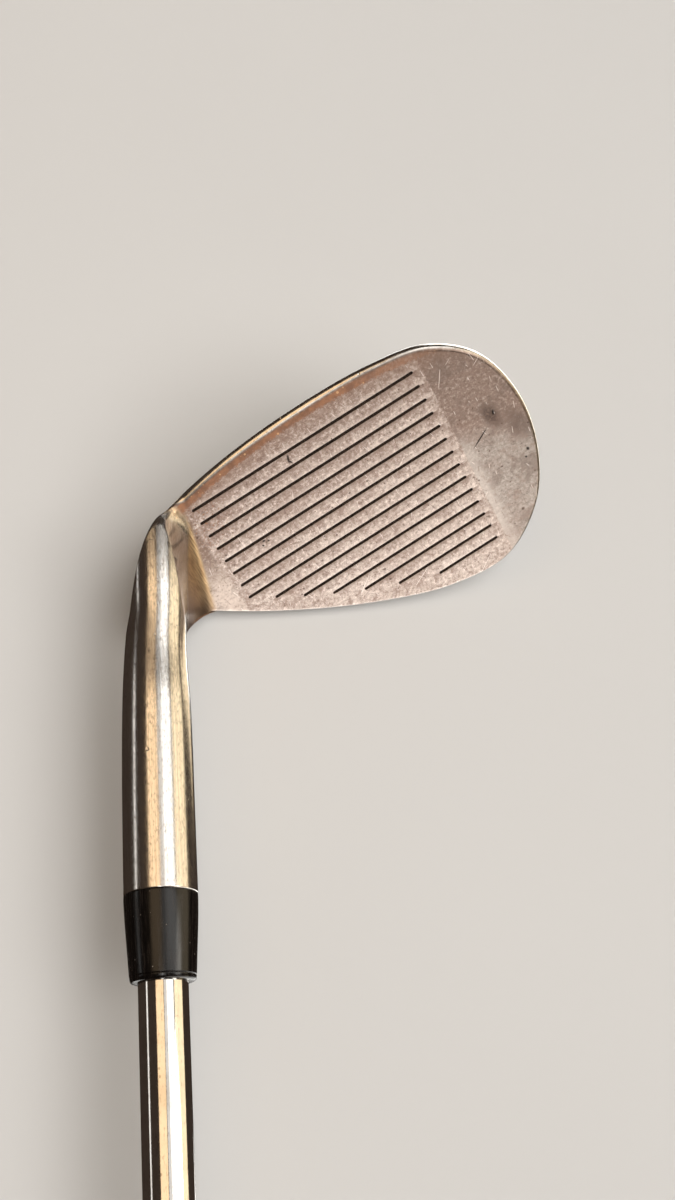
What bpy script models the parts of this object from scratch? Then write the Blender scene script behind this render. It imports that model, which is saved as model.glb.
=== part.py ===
"""A high-loft iron golf club (a wedge), lying face up, built as the pieces it is assembled from.

The club is modelled in its address frame: X runs from heel to toe, Y towards the target, Z up,
and the shaft's centre line passes through the origin at the height of the sole.  Two empties
place it: `shaft_line` tilts the turned pieces onto the shaft's line, and `lying_pose` lays the
whole club on the floor with its face up, the grip towards -Y and the head towards +Y.
"""
import math

import bmesh
import bpy
import numpy as np
from mathutils import Matrix

MM = 0.001

# --- driving dimensions, metres and radians ------------------------------------------------
LOFT = math.radians(58.0)              # the face leans back from the vertical
LIE = math.radians(63.3)               # the shaft line above the ground
FACE_PROGRESSION = 5.5 * MM            # leading edge in front of the shaft line
LEADING_EDGE_HEIGHT = 3.5 * MM         # leading edge above the origin

GROOVE_COUNT = 14
GROOVE_PITCH = 3.55 * MM
GROOVE_FIRST = 6.05 * MM               # up the face from the leading edge
GROOVE_WIDTH = 0.66 * MM
GROOVE_DEPTH = 0.45 * MM
GROOVE_TOPLINE_MARGIN = 4.4 * MM       # the short grooves stop this far below the top line
SCORE_LINE_HEEL = 6.6 * MM             # every groove lies between these two lines
SCORE_LINE_TOE = 59.6 * MM

# Distances along the shaft line, from the origin towards the grip.
HOSEL_TOP = 80 * MM
BORE_BOTTOM = 45 * MM
FERRULE_LENGTH = 16 * MM
SHAFT_TIP = 47 * MM
FIRST_STEP = 175 * MM
STEP_PITCH = 44.45 * MM
STEP_COUNT = 11
BAND_START = 582 * MM
BAND_LENGTH = 34 * MM
GRIP_MOUTH = 633 * MM
SHAFT_BUTT = 893 * MM
GRIP_END = 894.5 * MM                  # where the sleeve ends and the cap begins
CLUB_END = 901 * MM

HOSEL_RADIUS = 6.93 * MM
BORE_RADIUS = 4.80 * MM
SHAFT_TIP_RADIUS = 4.51 * MM
SHAFT_LOW_RADIUS = 4.62 * MM           # just above the ferrule
SHAFT_BUTT_RADIUS = 7.62 * MM
SHAFT_WALL = 0.5 * MM
GRIP_MOUTH_RADIUS = 8.9 * MM
GRIP_BUTT_RADIUS = 13.0 * MM
GRIP_FLARE = 2.4 * MM                  # extra radius at the very end
GRIP_FLARE_LENGTH = 8 * MM
CAP_RADIUS = 15.2 * MM
VENT_RADIUS = 1.5 * MM

FIT_GAP = 0.05 * MM                    # between concentric pieces, whose facets match
FACE_GAP = 0.3 * MM                    # between pieces that meet end to end
FILM = 0.12 * MM                       # cured adhesive, label foil and grip tape
TURNED_STEPS = 36

# The lying pose: roll about the shaft line, then the pitch of that line above the floor.
# Both come from how the club settles on a floor: on two points of the head's back and on the cap.
LYING_ROLL = math.radians(-27.5)
LYING_PITCH = math.radians(0.15)

# --- the head's shape, millimetres ------------------------------------------------------------
# The face's outline from the heel along the leading edge, round the toe and back along the top
# line: x toeward, f up the face, the rounding of the face's edge, and the wall behind that edge
# as its far slope, its extra depth near the edge and the length in which that extra is gained.
OUTLINE = (
    (7.0, 2.3, 1.6, 0.45, 5.2, 3.4),
    (20.0, 0.1, 1.6, 0.45, 5.2, 3.4),
    (36.0, -0.8, 1.6, 0.45, 5.2, 3.4),
    (52.0, -0.1, 1.5, 0.55, 5.0, 3.2),
    (64.5, 2.7, 1.4, 0.9, 4.2, 2.4),
    (73.4, 10.4, 1.3, 1.6, 3.2, 1.5),
    (77.6, 23.0, 1.1, 2.6, 2.6, 0.9),
    (76.8, 37.0, 1.0, 3.4, 2.2, 0.7),
    (71.0, 50.2, 0.9, 4.0, 2.0, 0.6),
    (60.0, 58.2, 0.8, 4.5, 1.8, 0.6),
    (46.0, 57.0, 0.8, 5.0, 1.6, 0.6),
    (30.0, 50.2, 0.8, 5.0, 1.6, 0.6),
    (14.0, 40.6, 0.8, 5.0, 1.6, 0.6),
    (0.0, 30.1, 0.8, 5.0, 1.6, 0.6),
)
HEEL_LOW_X = 7.0                       # where the blade meets the heel bend, at the sole
HEEL_TOP_X = 0.0                       # and at the top line
TOE_CENTRE_X = 54.0                    # the toe's sections fan out from here
BLADE_THICKNESS = 5.6
MUSCLE_THICKNESS = 12.8                # behind the trailing edge of the sole
MUSCLE_EDGE = 27.0                     # up the face, where the muscle thins to the blade
MUSCLE_RISE = 0.04                     # that edge climbs towards the toe
MUSCLE_SPREAD = 1.45
CORNER_SOFTNESS = 0.9                  # rounding where the sole meets the back
EDGE_DEPTH = 0.9                       # depth of the face edge's rounding over its width

HEEL_TAPER = 1.7                       # how much the hosel's heel side narrows at the blade
TOE_TAPER = 0.5                        # and its toe side
# Where the round neck begins along the shaft line, by the angle round it, in degrees.
NECK_STARTS = ((15.0, 24.0), (35.0, 13.0), (50.0, 7.0), (70.0, 7.5), (95.0, 12.8), (120.0, 20.5),
               (150.0, 28.0), (180.0, 30.0), (250.0, 30.5), (322.0, 30.0), (350.0, 28.5))
# Share of the way over the back, and the angle round the neck that it leads to.
BACK_TURNS = ((0.0, 50.0), (0.06, 95.0), (0.25, 165.0), (1.0, 322.0))
# Handles of the heel bend's curves, for the toe side, the heel side and the front.
NECK_HANDLES = (2.5, 12.0, 3.0)
BLADE_HANDLES = (5.5, 9.0, 3.2)

# Mesh density of the head.
BLADE_STATIONS = 17
TOE_STATIONS = 25
RIM_ROWS = 16
FACE_COLUMNS = 14
HEEL_RINGS = 12
NECK_RINGS = 8

# --- the head's own directions ------------------------------------------------------------------
TOEWARD = np.array([1.0, 0.0, 0.0])
FACE_UP = np.array([0.0, -math.sin(LOFT), math.cos(LOFT)])
FACE_OUT = np.array([0.0, math.cos(LOFT), math.sin(LOFT)])
LEADING_EDGE = np.array([0.0, FACE_PROGRESSION, LEADING_EDGE_HEIGHT])
ALONG_SHAFT = np.array([-math.cos(LIE), 0.0, math.sin(LIE)])
NECK_TOE_SIDE = np.array([math.sin(LIE), 0.0, math.cos(LIE)])
NECK_FRONT = np.array([0.0, 1.0, 0.0])


def material(name, colour, roughness, metallic):
    mat = bpy.data.materials.new(name)
    mat.use_nodes = True
    shader = mat.node_tree.nodes["Principled BSDF"]
    shader.inputs["Base Color"].default_value = (*colour, 1.0)
    shader.inputs["Roughness"].default_value = roughness
    shader.inputs["Metallic"].default_value = metallic
    return mat


def add_object(name, mesh, collection, parent, mat=None):
    obj = bpy.data.objects.new(name, mesh)
    collection.objects.link(obj)
    obj.parent = parent
    if mat:
        mesh.materials.append(mat)
    return obj


def shade(mesh, angle=40.0):
    mesh.shade_smooth()
    mesh.set_sharp_from_angle(angle=math.radians(angle))


# --- turned pieces --------------------------------------------------------------------------------
def turned(name, profile, collection, parent, mat=None):
    """A closed or axis-to-axis profile of (radius, height) spun round the parent's Z.

    The profile runs down the outer side from the top, and back up the inner side."""
    mesh = bpy.data.meshes.new(name)
    closed = profile[0][0] > 0.0
    count = len(profile)
    edges = [(i, (i + 1) % count) for i in range(count if closed else count - 1)]
    mesh.from_pydata([(r, 0.0, z) for r, z in profile], edges, [])
    spun = bpy.data.objects.new(name, mesh)
    collection.objects.link(spun)
    screw = spun.modifiers.new("turn", "SCREW")
    screw.steps = TURNED_STEPS
    screw.render_steps = TURNED_STEPS
    screw.use_merge_vertices = True
    screw.merge_threshold = 1e-6
    screw.use_smooth_shade = True
    graph = bpy.context.evaluated_depsgraph_get()
    solid = bpy.data.meshes.new_from_object(spun.evaluated_get(graph))
    bpy.data.objects.remove(spun)
    solid.name = name
    shade(solid)
    return add_object(name, solid, collection, parent, mat)


def shaft_radius(distance):
    """Outer radius of the stepped shaft at a distance along the shaft line."""
    if distance < HOSEL_TOP:
        share = (distance - SHAFT_TIP) / (HOSEL_TOP - SHAFT_TIP)
        return SHAFT_TIP_RADIUS + (SHAFT_LOW_RADIUS - SHAFT_TIP_RADIUS) * max(share, 0.0)
    steps_passed = sum(distance > FIRST_STEP + i * STEP_PITCH for i in range(STEP_COUNT))
    rise = (SHAFT_BUTT_RADIUS - SHAFT_LOW_RADIUS) / STEP_COUNT
    return SHAFT_LOW_RADIUS + rise * steps_passed


def shaft_profile():
    """Down the stepped outside from the butt to the tip, and back up the bore."""
    step_run = 0.8 * MM
    stations = [SHAFT_BUTT]
    for i in reversed(range(STEP_COUNT)):
        edge = FIRST_STEP + i * STEP_PITCH
        stations += [edge + step_run, edge]
    stations += [HOSEL_TOP, SHAFT_TIP]
    outside = [(shaft_radius(z), z) for z in stations]
    return outside + [(r - SHAFT_WALL, z) for r, z in reversed(outside)]


def ferrule_profile():
    """A tapered collar with a straight foot and a round lip; its bore clears the shaft."""
    foot = HOSEL_TOP + FACE_GAP
    top = HOSEL_TOP + FERRULE_LENGTH
    waist_radius = 6.15 * MM
    lip = 0.55 * MM
    bore = SHAFT_LOW_RADIUS + FIT_GAP
    arc = [(waist_radius - lip + lip * math.cos(a), top - lip + lip * math.sin(a))
           for a in (math.radians(90 - 22.5 * i) for i in range(5))]
    return ([(bore, top)] + arc
            + [(HOSEL_RADIUS - 0.12 * MM, foot + 4.5 * MM), (HOSEL_RADIUS, foot + 1.0 * MM),
               (HOSEL_RADIUS - 0.05 * MM, foot), (bore, foot)])


def epoxy_profile():
    """A sleeve of cured adhesive between bore and shaft, closed by a pool under the tip."""
    outer = BORE_RADIUS - FIT_GAP
    inner = outer - FILM
    floor = BORE_BOTTOM + FIT_GAP
    return [(0.0, floor + 1.2 * MM), (inner, floor + 1.2 * MM),
            (inner, HOSEL_TOP - 0.4 * MM), (outer, HOSEL_TOP - 0.4 * MM),
            (outer, floor), (0.0, floor)]


def tip_weight_profile():
    """A brass pin inside the shaft's tip, with a small head at its lower end."""
    pin = SHAFT_TIP_RADIUS - SHAFT_WALL - FIT_GAP
    low = SHAFT_TIP + 0.5 * MM
    return [(0.0, low + 18 * MM), (pin - 0.8 * MM, low + 18 * MM), (pin - 0.3 * MM, low + 17 * MM),
            (pin - 0.3 * MM, low + 2 * MM), (pin, low + 2 * MM), (pin, low), (0.0, low)]


def tip_plug_profile():
    """A cork that stops adhesive and rattle above the tip weight."""
    low = SHAFT_TIP + 19 * MM
    radius = SHAFT_TIP_RADIUS - SHAFT_WALL - FIT_GAP
    chamfer = 0.6 * MM
    return [(0.0, low + 9 * MM), (radius - chamfer, low + 9 * MM),
            (radius, low + 9 * MM - chamfer), (radius, low + chamfer),
            (radius - chamfer, low), (0.0, low)]


def band_profile():
    """A blank foil band laid round the shaft just below the grip."""
    inner = shaft_radius(BAND_START) + FIT_GAP
    return [(inner, BAND_START + BAND_LENGTH), (inner + FILM, BAND_START + BAND_LENGTH),
            (inner + FILM, BAND_START), (inner, BAND_START)]


def tape_profile():
    """Grip tape on the shaft's butt, stopping short of both ends of the grip."""
    inner = SHAFT_BUTT_RADIUS + FIT_GAP
    low = GRIP_MOUTH + 6 * MM
    high = SHAFT_BUTT - 4 * MM
    return [(inner, high), (inner + FILM, high), (inner + FILM, low), (inner, low)]


def grip_radius(distance):
    """The rubber sleeve widens from the mouth to the butt, and flares out to the cap."""
    share = (distance - GRIP_MOUTH) / (CLUB_END - GRIP_MOUTH)
    flare = GRIP_FLARE * math.exp((distance - CLUB_END) / GRIP_FLARE_LENGTH)
    return GRIP_MOUTH_RADIUS + (GRIP_BUTT_RADIUS - GRIP_MOUTH_RADIUS) * share ** 1.25 + flare


def grip_profile():
    bore = SHAFT_BUTT_RADIUS + FIT_GAP + FILM + FIT_GAP
    low = GRIP_MOUTH
    high = GRIP_END
    lip = 0.5 * MM
    count = 16
    stations = [high - (high - low - 2 * MM) * (i / count) ** 1.6 for i in range(count + 1)]
    outside = [(grip_radius(z), z) for z in stations]
    mouth = GRIP_MOUTH_RADIUS
    return ([(bore, high)] + outside
            + [(mouth - 0.1 * MM, low + lip), (mouth - lip, low), (bore, low)])


def cap_profile():
    """The hard rubber end cap: a flat end with a vent, and a round edge."""
    foot = GRIP_END + FACE_GAP
    edge = 2.4 * MM
    skirt = grip_radius(GRIP_END)
    arc = [(CAP_RADIUS - edge + edge * math.cos(a), CLUB_END - edge + edge * math.sin(a))
           for a in (math.radians(90 - 15 * i) for i in range(7))]
    return ([(VENT_RADIUS, CLUB_END)] + arc
            + [(CAP_RADIUS, foot + 2.4 * MM), (skirt, foot), (VENT_RADIUS, foot)])


# --- the head ---------------------------------------------------------------------------------------
def smooth_curve(points, share):
    """Catmull-Rom curve through points, at shares 0 to 1 of its own chord parameter."""
    chord = np.linalg.norm(np.diff(points[:, :2], axis=0), axis=1)
    knots = np.concatenate([[0.0], np.cumsum(np.sqrt(chord))])
    knots /= knots[-1]
    gap = np.diff(knots)[:, None]
    slope = np.diff(points, axis=0) / gap
    tangent = np.empty_like(points)
    tangent[1:-1] = (slope[:-1] * gap[1:] + slope[1:] * gap[:-1]) / (gap[:-1] + gap[1:])
    tangent[0] = 2 * slope[0] - tangent[1]
    tangent[-1] = 2 * slope[-1] - tangent[-2]
    i = np.clip(np.searchsorted(knots, share, side="right") - 1, 0, len(knots) - 2)
    width = gap[i]
    t = (share - knots[i])[:, None] / width
    return ((2 * t**3 - 3 * t**2 + 1) * points[i] + (t**3 - 2 * t**2 + t) * width * tangent[i]
            + (3 * t**2 - 2 * t**3) * points[i + 1] + (t**3 - t**2) * width * tangent[i + 1])


def columns_at(x, curve):
    """Every column of a curve, read where its first column is x."""
    return np.stack([np.interp(x, curve[:, 0], column) for column in curve.T], axis=1)


def spread_evenly(curve, count):
    """count points inside a curve, evenly along its length in the face plane."""
    steps = np.linalg.norm(np.diff(curve[:, :2], axis=0), axis=1)
    length = np.concatenate([[0.0], np.cumsum(steps)])
    wanted = np.linspace(0.0, length[-1], count + 2)[1:-1]
    return np.stack([np.interp(wanted, length, column) for column in curve.T], axis=1)


def outline_stations():
    """Outline points round the blade, each with the spine point its section runs in to."""
    curve = smooth_curve(np.array(OUTLINE), np.linspace(0.0, 1.0, 1200))
    tip = int(np.argmax(curve[:, 0]))
    sole_side = curve[:tip]
    top_side = curve[tip:][::-1]
    share = np.linspace(0.0, 1.0, BLADE_STATIONS)
    low = columns_at(HEEL_LOW_X + (TOE_CENTRE_X - HEEL_LOW_X) * share, sole_side)
    high = columns_at(HEEL_TOP_X + (TOE_CENTRE_X - HEEL_TOP_X) * share, top_side)
    toe_curve = curve[curve[:, 0] > TOE_CENTRE_X]
    toe = spread_evenly(np.vstack([low[-1:], toe_curve, high[-1:]]), TOE_STATIONS)
    spine = (low[:, :2] + high[:, :2]) / 2
    edge = np.vstack([low, toe, high[::-1]])
    centre = np.vstack([spine, np.repeat(spine[-1:], TOE_STATIONS, axis=0), spine[::-1]])
    return edge, centre


def back_thickness(x, f):
    """Thin upper blade, thick muscle behind the sole, and a soft step between them."""
    step = MUSCLE_EDGE + MUSCLE_RISE * (x - HEEL_LOW_X)
    return BLADE_THICKNESS + (MUSCLE_THICKNESS - BLADE_THICKNESS) / (
        1 + np.exp((f - step) / MUSCLE_SPREAD))


def section(edge, centre):
    """One section from the face's edge, round the rim and over the back to the spine.

    Returns rows of (x, f, depth behind the face), closest together where the section turns."""
    x, f, rounding, slope, extra, run = edge
    inward = centre - edge[:2]
    reach = np.linalg.norm(inward)
    inward /= reach
    turn = np.linspace(0.0, math.pi / 2, 14)
    lip_depth = rounding * EDGE_DEPTH
    lip_in = rounding * (1 - np.sin(turn))
    lip_down = lip_depth * (1 - np.cos(turn))
    wall_in = np.concatenate([np.linspace(0.0, 3.0, 60)[1:], np.linspace(3.0, reach, 160)[1:]])
    wall = lip_depth + slope * wall_in + extra * (1 - np.exp(-wall_in / run))
    back = back_thickness(x + inward[0] * wall_in, f + inward[1] * wall_in)
    blend = -CORNER_SOFTNESS * np.log(
        np.exp(-wall / CORNER_SOFTNESS) + np.exp(-back / CORNER_SOFTNESS))
    into = np.concatenate([lip_in, wall_in])
    depth = np.concatenate([lip_down, np.maximum(blend, lip_depth)])
    run_in, run_down = np.diff(into), np.diff(depth)
    length = np.concatenate([[0.0], np.cumsum(np.hypot(run_in, run_down))])
    bend = np.abs(np.diff(np.arctan2(run_down, run_in)))
    bend = np.concatenate([[0.0], bend, [0.0]])
    pace = length / length[-1] + 0.55 * np.cumsum(bend) / bend.sum()
    wanted = np.linspace(0.0, pace[-1], RIM_ROWS)
    into = np.interp(wanted, pace, into)
    depth = np.interp(wanted, pace, depth)
    return np.stack([x + inward[0] * into, f + inward[1] * into, depth], axis=1)


def in_address_frame(points):
    """From (x, f, depth) in millimetres to metres in the address frame."""
    x, f, depth = (points[..., i:i + 1] * MM for i in range(3))
    return LEADING_EDGE + x * TOEWARD + f * FACE_UP - depth * FACE_OUT


def neck_start(angles):
    """How far up the shaft line the round neck begins, which depends on the side of it."""
    turn = np.arange(360.0)
    ends, starts = zip(*NECK_STARTS)
    rough = np.interp(turn, ends, starts, period=360.0)
    window = np.hanning(31)
    around = np.concatenate([rough[-15:], rough, rough[:15]])
    smooth = np.convolve(around, window / window.sum(), "valid")
    return np.interp(np.degrees(angles), turn, smooth, period=360.0) * MM


def neck_circle(distance, angles):
    """Points round the hosel at distances along the shaft line.

    The heel side narrows towards the blade, and the toe side only dips where it meets it."""
    along = distance / MM
    taper = np.exp(-(np.maximum(along, 24.0) - 27.0) / 13.5)
    heel_side = HOSEL_RADIUS - HEEL_TAPER * MM * taper
    toe_side = HOSEL_RADIUS - TOE_TAPER * MM * np.exp(-((along - 32.0) / 9.0)**2)
    radius = heel_side + (toe_side - heel_side) * (1 + np.cos(angles)) / 2
    steps = np.stack([distance + 0 * angles, radius * np.cos(angles), radius * np.sin(angles)], axis=1)
    return steps @ np.stack([ALONG_SHAFT, NECK_TOE_SIDE, NECK_FRONT])


def neck_angles(back_points, face_count):
    """Where each point of the blade's heel section meets the round neck."""
    steps = np.linalg.norm(np.diff(back_points, axis=0), axis=1)
    along = np.concatenate([[0.0], np.cumsum(steps)])
    shares, turns = zip(*BACK_TURNS)
    back = np.interp(along / along[-1], shares, turns)
    share = (np.arange(face_count) + 1) / (face_count + 1)
    face = turns[-1] + (360.0 + turns[0] - turns[-1]) * share
    return np.radians(np.concatenate([back, face]))


def handle_lengths(handles, angles, gap):
    """Handle length of each bend curve, by where it leaves the neck and how far it has to go."""
    toe_side, heel_side, front = handles
    heelward = (1 - np.cos(angles)) / 2
    frontward = np.clip(0.5 + np.sin(angles), 0.0, 1.0)**2
    length = toe_side + (heel_side - toe_side) * heelward
    length += (front - length) * frontward
    return np.minimum(length * MM, 0.4 * gap)[:, None]


class Loft:
    """Collects vertices and faces of one closed surface."""

    def __init__(self):
        self.points = []
        self.faces = []

    def add(self, points):
        first = len(self.points)
        self.points.extend(tuple(p) for p in points)
        return list(range(first, len(self.points)))

    def face(self, corners):
        kept = list(dict.fromkeys(corners))
        if len(kept) > 2:
            self.faces.append(kept)

    def bridge(self, ring, other):
        for i in range(len(ring)):
            j = (i + 1) % len(ring)
            self.face([ring[j], other[j], other[i], ring[i]])


def loft_blade(loft):
    """The rim and back as sections round the outline; returns their vertices and places."""
    edge, centre = outline_stations()
    flat = np.stack([section(e, c) for e, c in zip(edge, centre)])
    placed = in_address_frame(flat)
    grid = []
    for row in placed:
        grid.append(loft.add(row[:-1]))
    spine = loft.add(placed[:BLADE_STATIONS, -1])
    for i, column in enumerate(grid):
        mirrored = len(grid) - 1 - i
        column.append(spine[min(i, mirrored, BLADE_STATIONS - 1)])
    for left, right in zip(grid, grid[1:]):
        for a, b, c, d in zip(left, left[1:], right[1:], right):
            loft.face([d, c, b, a])
    return grid, flat, placed


def head_mesh(name):
    """The forged head: flat face, rounded rim, cambered sole and muscle back, and the hosel."""
    loft = Loft()
    grid, flat, placed = loft_blade(loft)
    share = (np.arange(FACE_COLUMNS) + 1)[:, None] / (FACE_COLUMNS + 1)
    heel_line = in_address_frame(flat[-1, 0] + (flat[0, 0] - flat[-1, 0]) * share)
    heel_face = loft.add(heel_line)
    loft.face(([column[0] for column in grid] + heel_face)[::-1])

    heel_ring = grid[0] + grid[-1][-2::-1] + heel_face
    back_points = np.vstack([placed[0], placed[-1][-2::-1]])
    start = np.vstack([back_points, heel_line])
    away = np.vstack([placed[0] - placed[1], (placed[-1] - placed[-2])[-2::-1],
                      np.repeat(-TOEWARD[None], FACE_COLUMNS, axis=0)])
    away /= np.linalg.norm(away, axis=1)[:, None]
    angles = neck_angles(back_points, FACE_COLUMNS)
    begin = neck_start(angles)
    end = neck_circle(begin, angles)
    uphill = neck_circle(begin + 0.1 * MM, angles) - end
    uphill /= np.linalg.norm(uphill, axis=1)[:, None]
    gap = np.linalg.norm(end - start, axis=1)
    leave = start + away * handle_lengths(BLADE_HANDLES, angles, gap)
    arrive = end - uphill * handle_lengths(NECK_HANDLES, angles, gap)
    ring = heel_ring
    for i in range(1, HEEL_RINGS + 1):
        t = i / HEEL_RINGS
        curve = ((1 - t)**3 * start + 3 * (1 - t)**2 * t * leave
                 + 3 * (1 - t) * t**2 * arrive + t**3 * end)
        following = loft.add(curve)
        loft.bridge(ring, following)
        ring = following

    even = angles[0] + np.linspace(0.0, 2 * math.pi, len(angles), endpoint=False)
    for i in range(1, NECK_RINGS + 1):
        rise = i / NECK_RINGS
        ease = min(1.0, 2 * rise)
        ease = ease * ease * (3 - 2 * ease)
        distance = begin + (HOSEL_TOP - begin) * rise
        following = loft.add(neck_circle(distance, angles * (1 - ease) + even * ease))
        loft.bridge(ring, following)
        ring = following
    loft.face(ring)

    mesh = bpy.data.meshes.new(name)
    mesh.from_pydata(loft.points, [], loft.faces)
    mesh.update()
    return mesh


def groove_heel_end(up_face):
    """Heel end of the groove at a height up the face: the score line, or short of the top line."""
    curve = smooth_curve(np.array(OUTLINE), np.linspace(0.0, 1.0, 600))
    top = curve[int(np.argmax(curve[:, 1])):][::-1]
    limit = np.interp((up_face + GROOVE_TOPLINE_MARGIN) / MM, top[:, 1], top[:, 0]) * MM
    return max(SCORE_LINE_HEEL, limit)


def groove_cutters(collection, parent):
    """All the grooves' cutters in one mesh: bars with round ends, standing on the face plane."""
    outline = bpy.data.curves.new("groove_cutters", "CURVE")
    outline.dimensions = "2D"
    outline.fill_mode = "BOTH"
    outline.extrude = GROOVE_DEPTH
    half = GROOVE_WIDTH / 2
    end_steps = 6
    for i in range(GROOVE_COUNT):
        up_face = GROOVE_FIRST + i * GROOVE_PITCH
        ends = ((SCORE_LINE_TOE - half, -90.0), (groove_heel_end(up_face) + half, 90.0))
        corners = []
        for x, start in ends:
            for j in range(end_steps + 1):
                a = math.radians(start + 180.0 * j / end_steps)
                corners.append((x + half * math.cos(a), up_face + half * math.sin(a)))
        spline = outline.splines.new("POLY")
        spline.points.add(len(corners) - 1)
        spline.use_cyclic_u = True
        for point, (x, y) in zip(spline.points, corners):
            point.co = (x, y, 0.0, 1.0)
    bars = bpy.data.objects.new("groove_bars", outline)
    collection.objects.link(bars)
    graph = bpy.context.evaluated_depsgraph_get()
    mesh = bpy.data.meshes.new_from_object(bars.evaluated_get(graph))
    bpy.data.objects.remove(bars)
    body = bmesh.new()
    body.from_mesh(mesh)
    bmesh.ops.remove_doubles(body, verts=body.verts, dist=1e-6)
    bmesh.ops.recalc_face_normals(body, faces=body.faces)
    body.to_mesh(mesh)
    body.free()
    cutter = add_object("groove_cutters", mesh, collection, parent)
    columns = [(*TOEWARD, 0), (*FACE_UP, 0), (*FACE_OUT, 0), (*LEADING_EDGE, 1)]
    cutter.matrix_local = Matrix(columns).transposed()
    hide_cutter(cutter)
    return cutter


def hide_cutter(obj):
    obj.hide_render = True
    obj.display_type = "WIRE"


def cut(target, cutter):
    modifier = target.modifiers.new(cutter.name, "BOOLEAN")
    modifier.operation = "DIFFERENCE"
    modifier.solver = "EXACT"
    modifier.object = cutter


def empty(name, collection, parent, matrix):
    obj = bpy.data.objects.new(name, None)
    collection.objects.link(obj)
    obj.parent = parent
    obj.matrix_local = matrix
    return obj


def lying_matrix():
    """Lays the shaft line along -Y, rolls the face up and lifts the line to its pitch."""
    to_floor = Matrix((
        (*NECK_TOE_SIDE, 0.0),
        (*(-ALONG_SHAFT), 0.0),
        (*NECK_FRONT, 0.0),
        (0.0, 0.0, 0.0, 1.0),
    ))
    roll = Matrix.Rotation(LYING_ROLL, 4, "Y")
    pitch = Matrix.Rotation(LYING_PITCH, 4, "X")
    return pitch @ roll @ to_floor


def set_on_floor(pose, pieces):
    """Moves the club so that the middle of its box is over the origin and it rests on Z = 0."""
    graph = bpy.context.evaluated_depsgraph_get()
    corners = []
    for piece in pieces:
        solid = piece.evaluated_get(graph)
        corners += [solid.matrix_world @ vertex.co for vertex in solid.data.vertices]
    corners = np.array(corners)
    low, high = corners.min(axis=0), corners.max(axis=0)
    centre = (low + high) / 2
    pose.matrix_local = Matrix.Translation((-centre[0], -centre[1], -low[2])) @ pose.matrix_local


def main():
    for obj in list(bpy.data.objects):
        bpy.data.objects.remove(obj)
    club = bpy.data.collections.new("iron_golf_club")
    cutters = bpy.data.collections.new("cutters")
    for collection in (club, cutters):
        bpy.context.scene.collection.children.link(collection)

    steel = material("satin_steel", (0.47, 0.40, 0.36), 0.38, 1.0)
    chrome = material("shaft_chrome", (0.75, 0.72, 0.68), 0.15, 1.0)
    black = material("black_plastic", (0.02, 0.016, 0.013), 0.3, 0.0)
    rubber = material("grip_rubber", (0.022, 0.022, 0.023), 0.75, 0.0)
    brass = material("brass", (0.72, 0.50, 0.20), 0.35, 1.0)
    cork = material("cork", (0.52, 0.35, 0.20), 0.85, 0.0)
    epoxy = material("epoxy", (0.60, 0.52, 0.34), 0.3, 0.0)
    foil = material("band_foil", (0.40, 0.40, 0.42), 0.35, 0.0)
    paper = material("tape_paper", (0.75, 0.70, 0.55), 0.8, 0.0)

    pose = empty("lying_pose", club, None, lying_matrix())
    tilt = Matrix.Rotation(LIE - math.pi / 2, 4, "Y")
    line = empty("shaft_line", club, pose, tilt)

    head = add_object("iron_head", head_mesh("iron_head"), club, pose, steel)
    cut(head, groove_cutters(cutters, pose))
    bore = [(0.0, HOSEL_TOP + 5 * MM), (BORE_RADIUS, HOSEL_TOP + 5 * MM),
            (BORE_RADIUS, BORE_BOTTOM), (0.0, BORE_BOTTOM)]
    bore_cutter = turned("bore_cutter", bore, cutters, line)
    hide_cutter(bore_cutter)
    cut(head, bore_cutter)
    shade(head.data, 35.0)

    turned("hosel_epoxy", epoxy_profile(), club, line, epoxy)
    turned("tip_weight", tip_weight_profile(), club, line, brass)
    turned("tip_plug", tip_plug_profile(), club, line, cork)
    turned("ferrule", ferrule_profile(), club, line, black)
    turned("shaft", shaft_profile(), club, line, chrome)
    turned("shaft_band", band_profile(), club, line, foil)
    turned("grip_tape", tape_profile(), club, line, paper)
    turned("grip", grip_profile(), club, line, rubber)
    turned("grip_cap", cap_profile(), club, line, rubber)
    set_on_floor(pose, [obj for obj in club.objects if obj.type == "MESH"])


main()
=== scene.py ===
"""The looks of the iron golf club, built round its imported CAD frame.

Fine meshes stand for the CAD's faceted pieces and follow the same driving dimensions, and every
piece has a procedural material: blasted and worn steel, brushed hosel, drawn chrome, moulded
plastic and rubber.  Metres and radians, in the frame's own axes: the shaft lies along -Y.
"""
import math

import bmesh
import bpy
import numpy as np
from mathutils import Matrix, Vector

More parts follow.
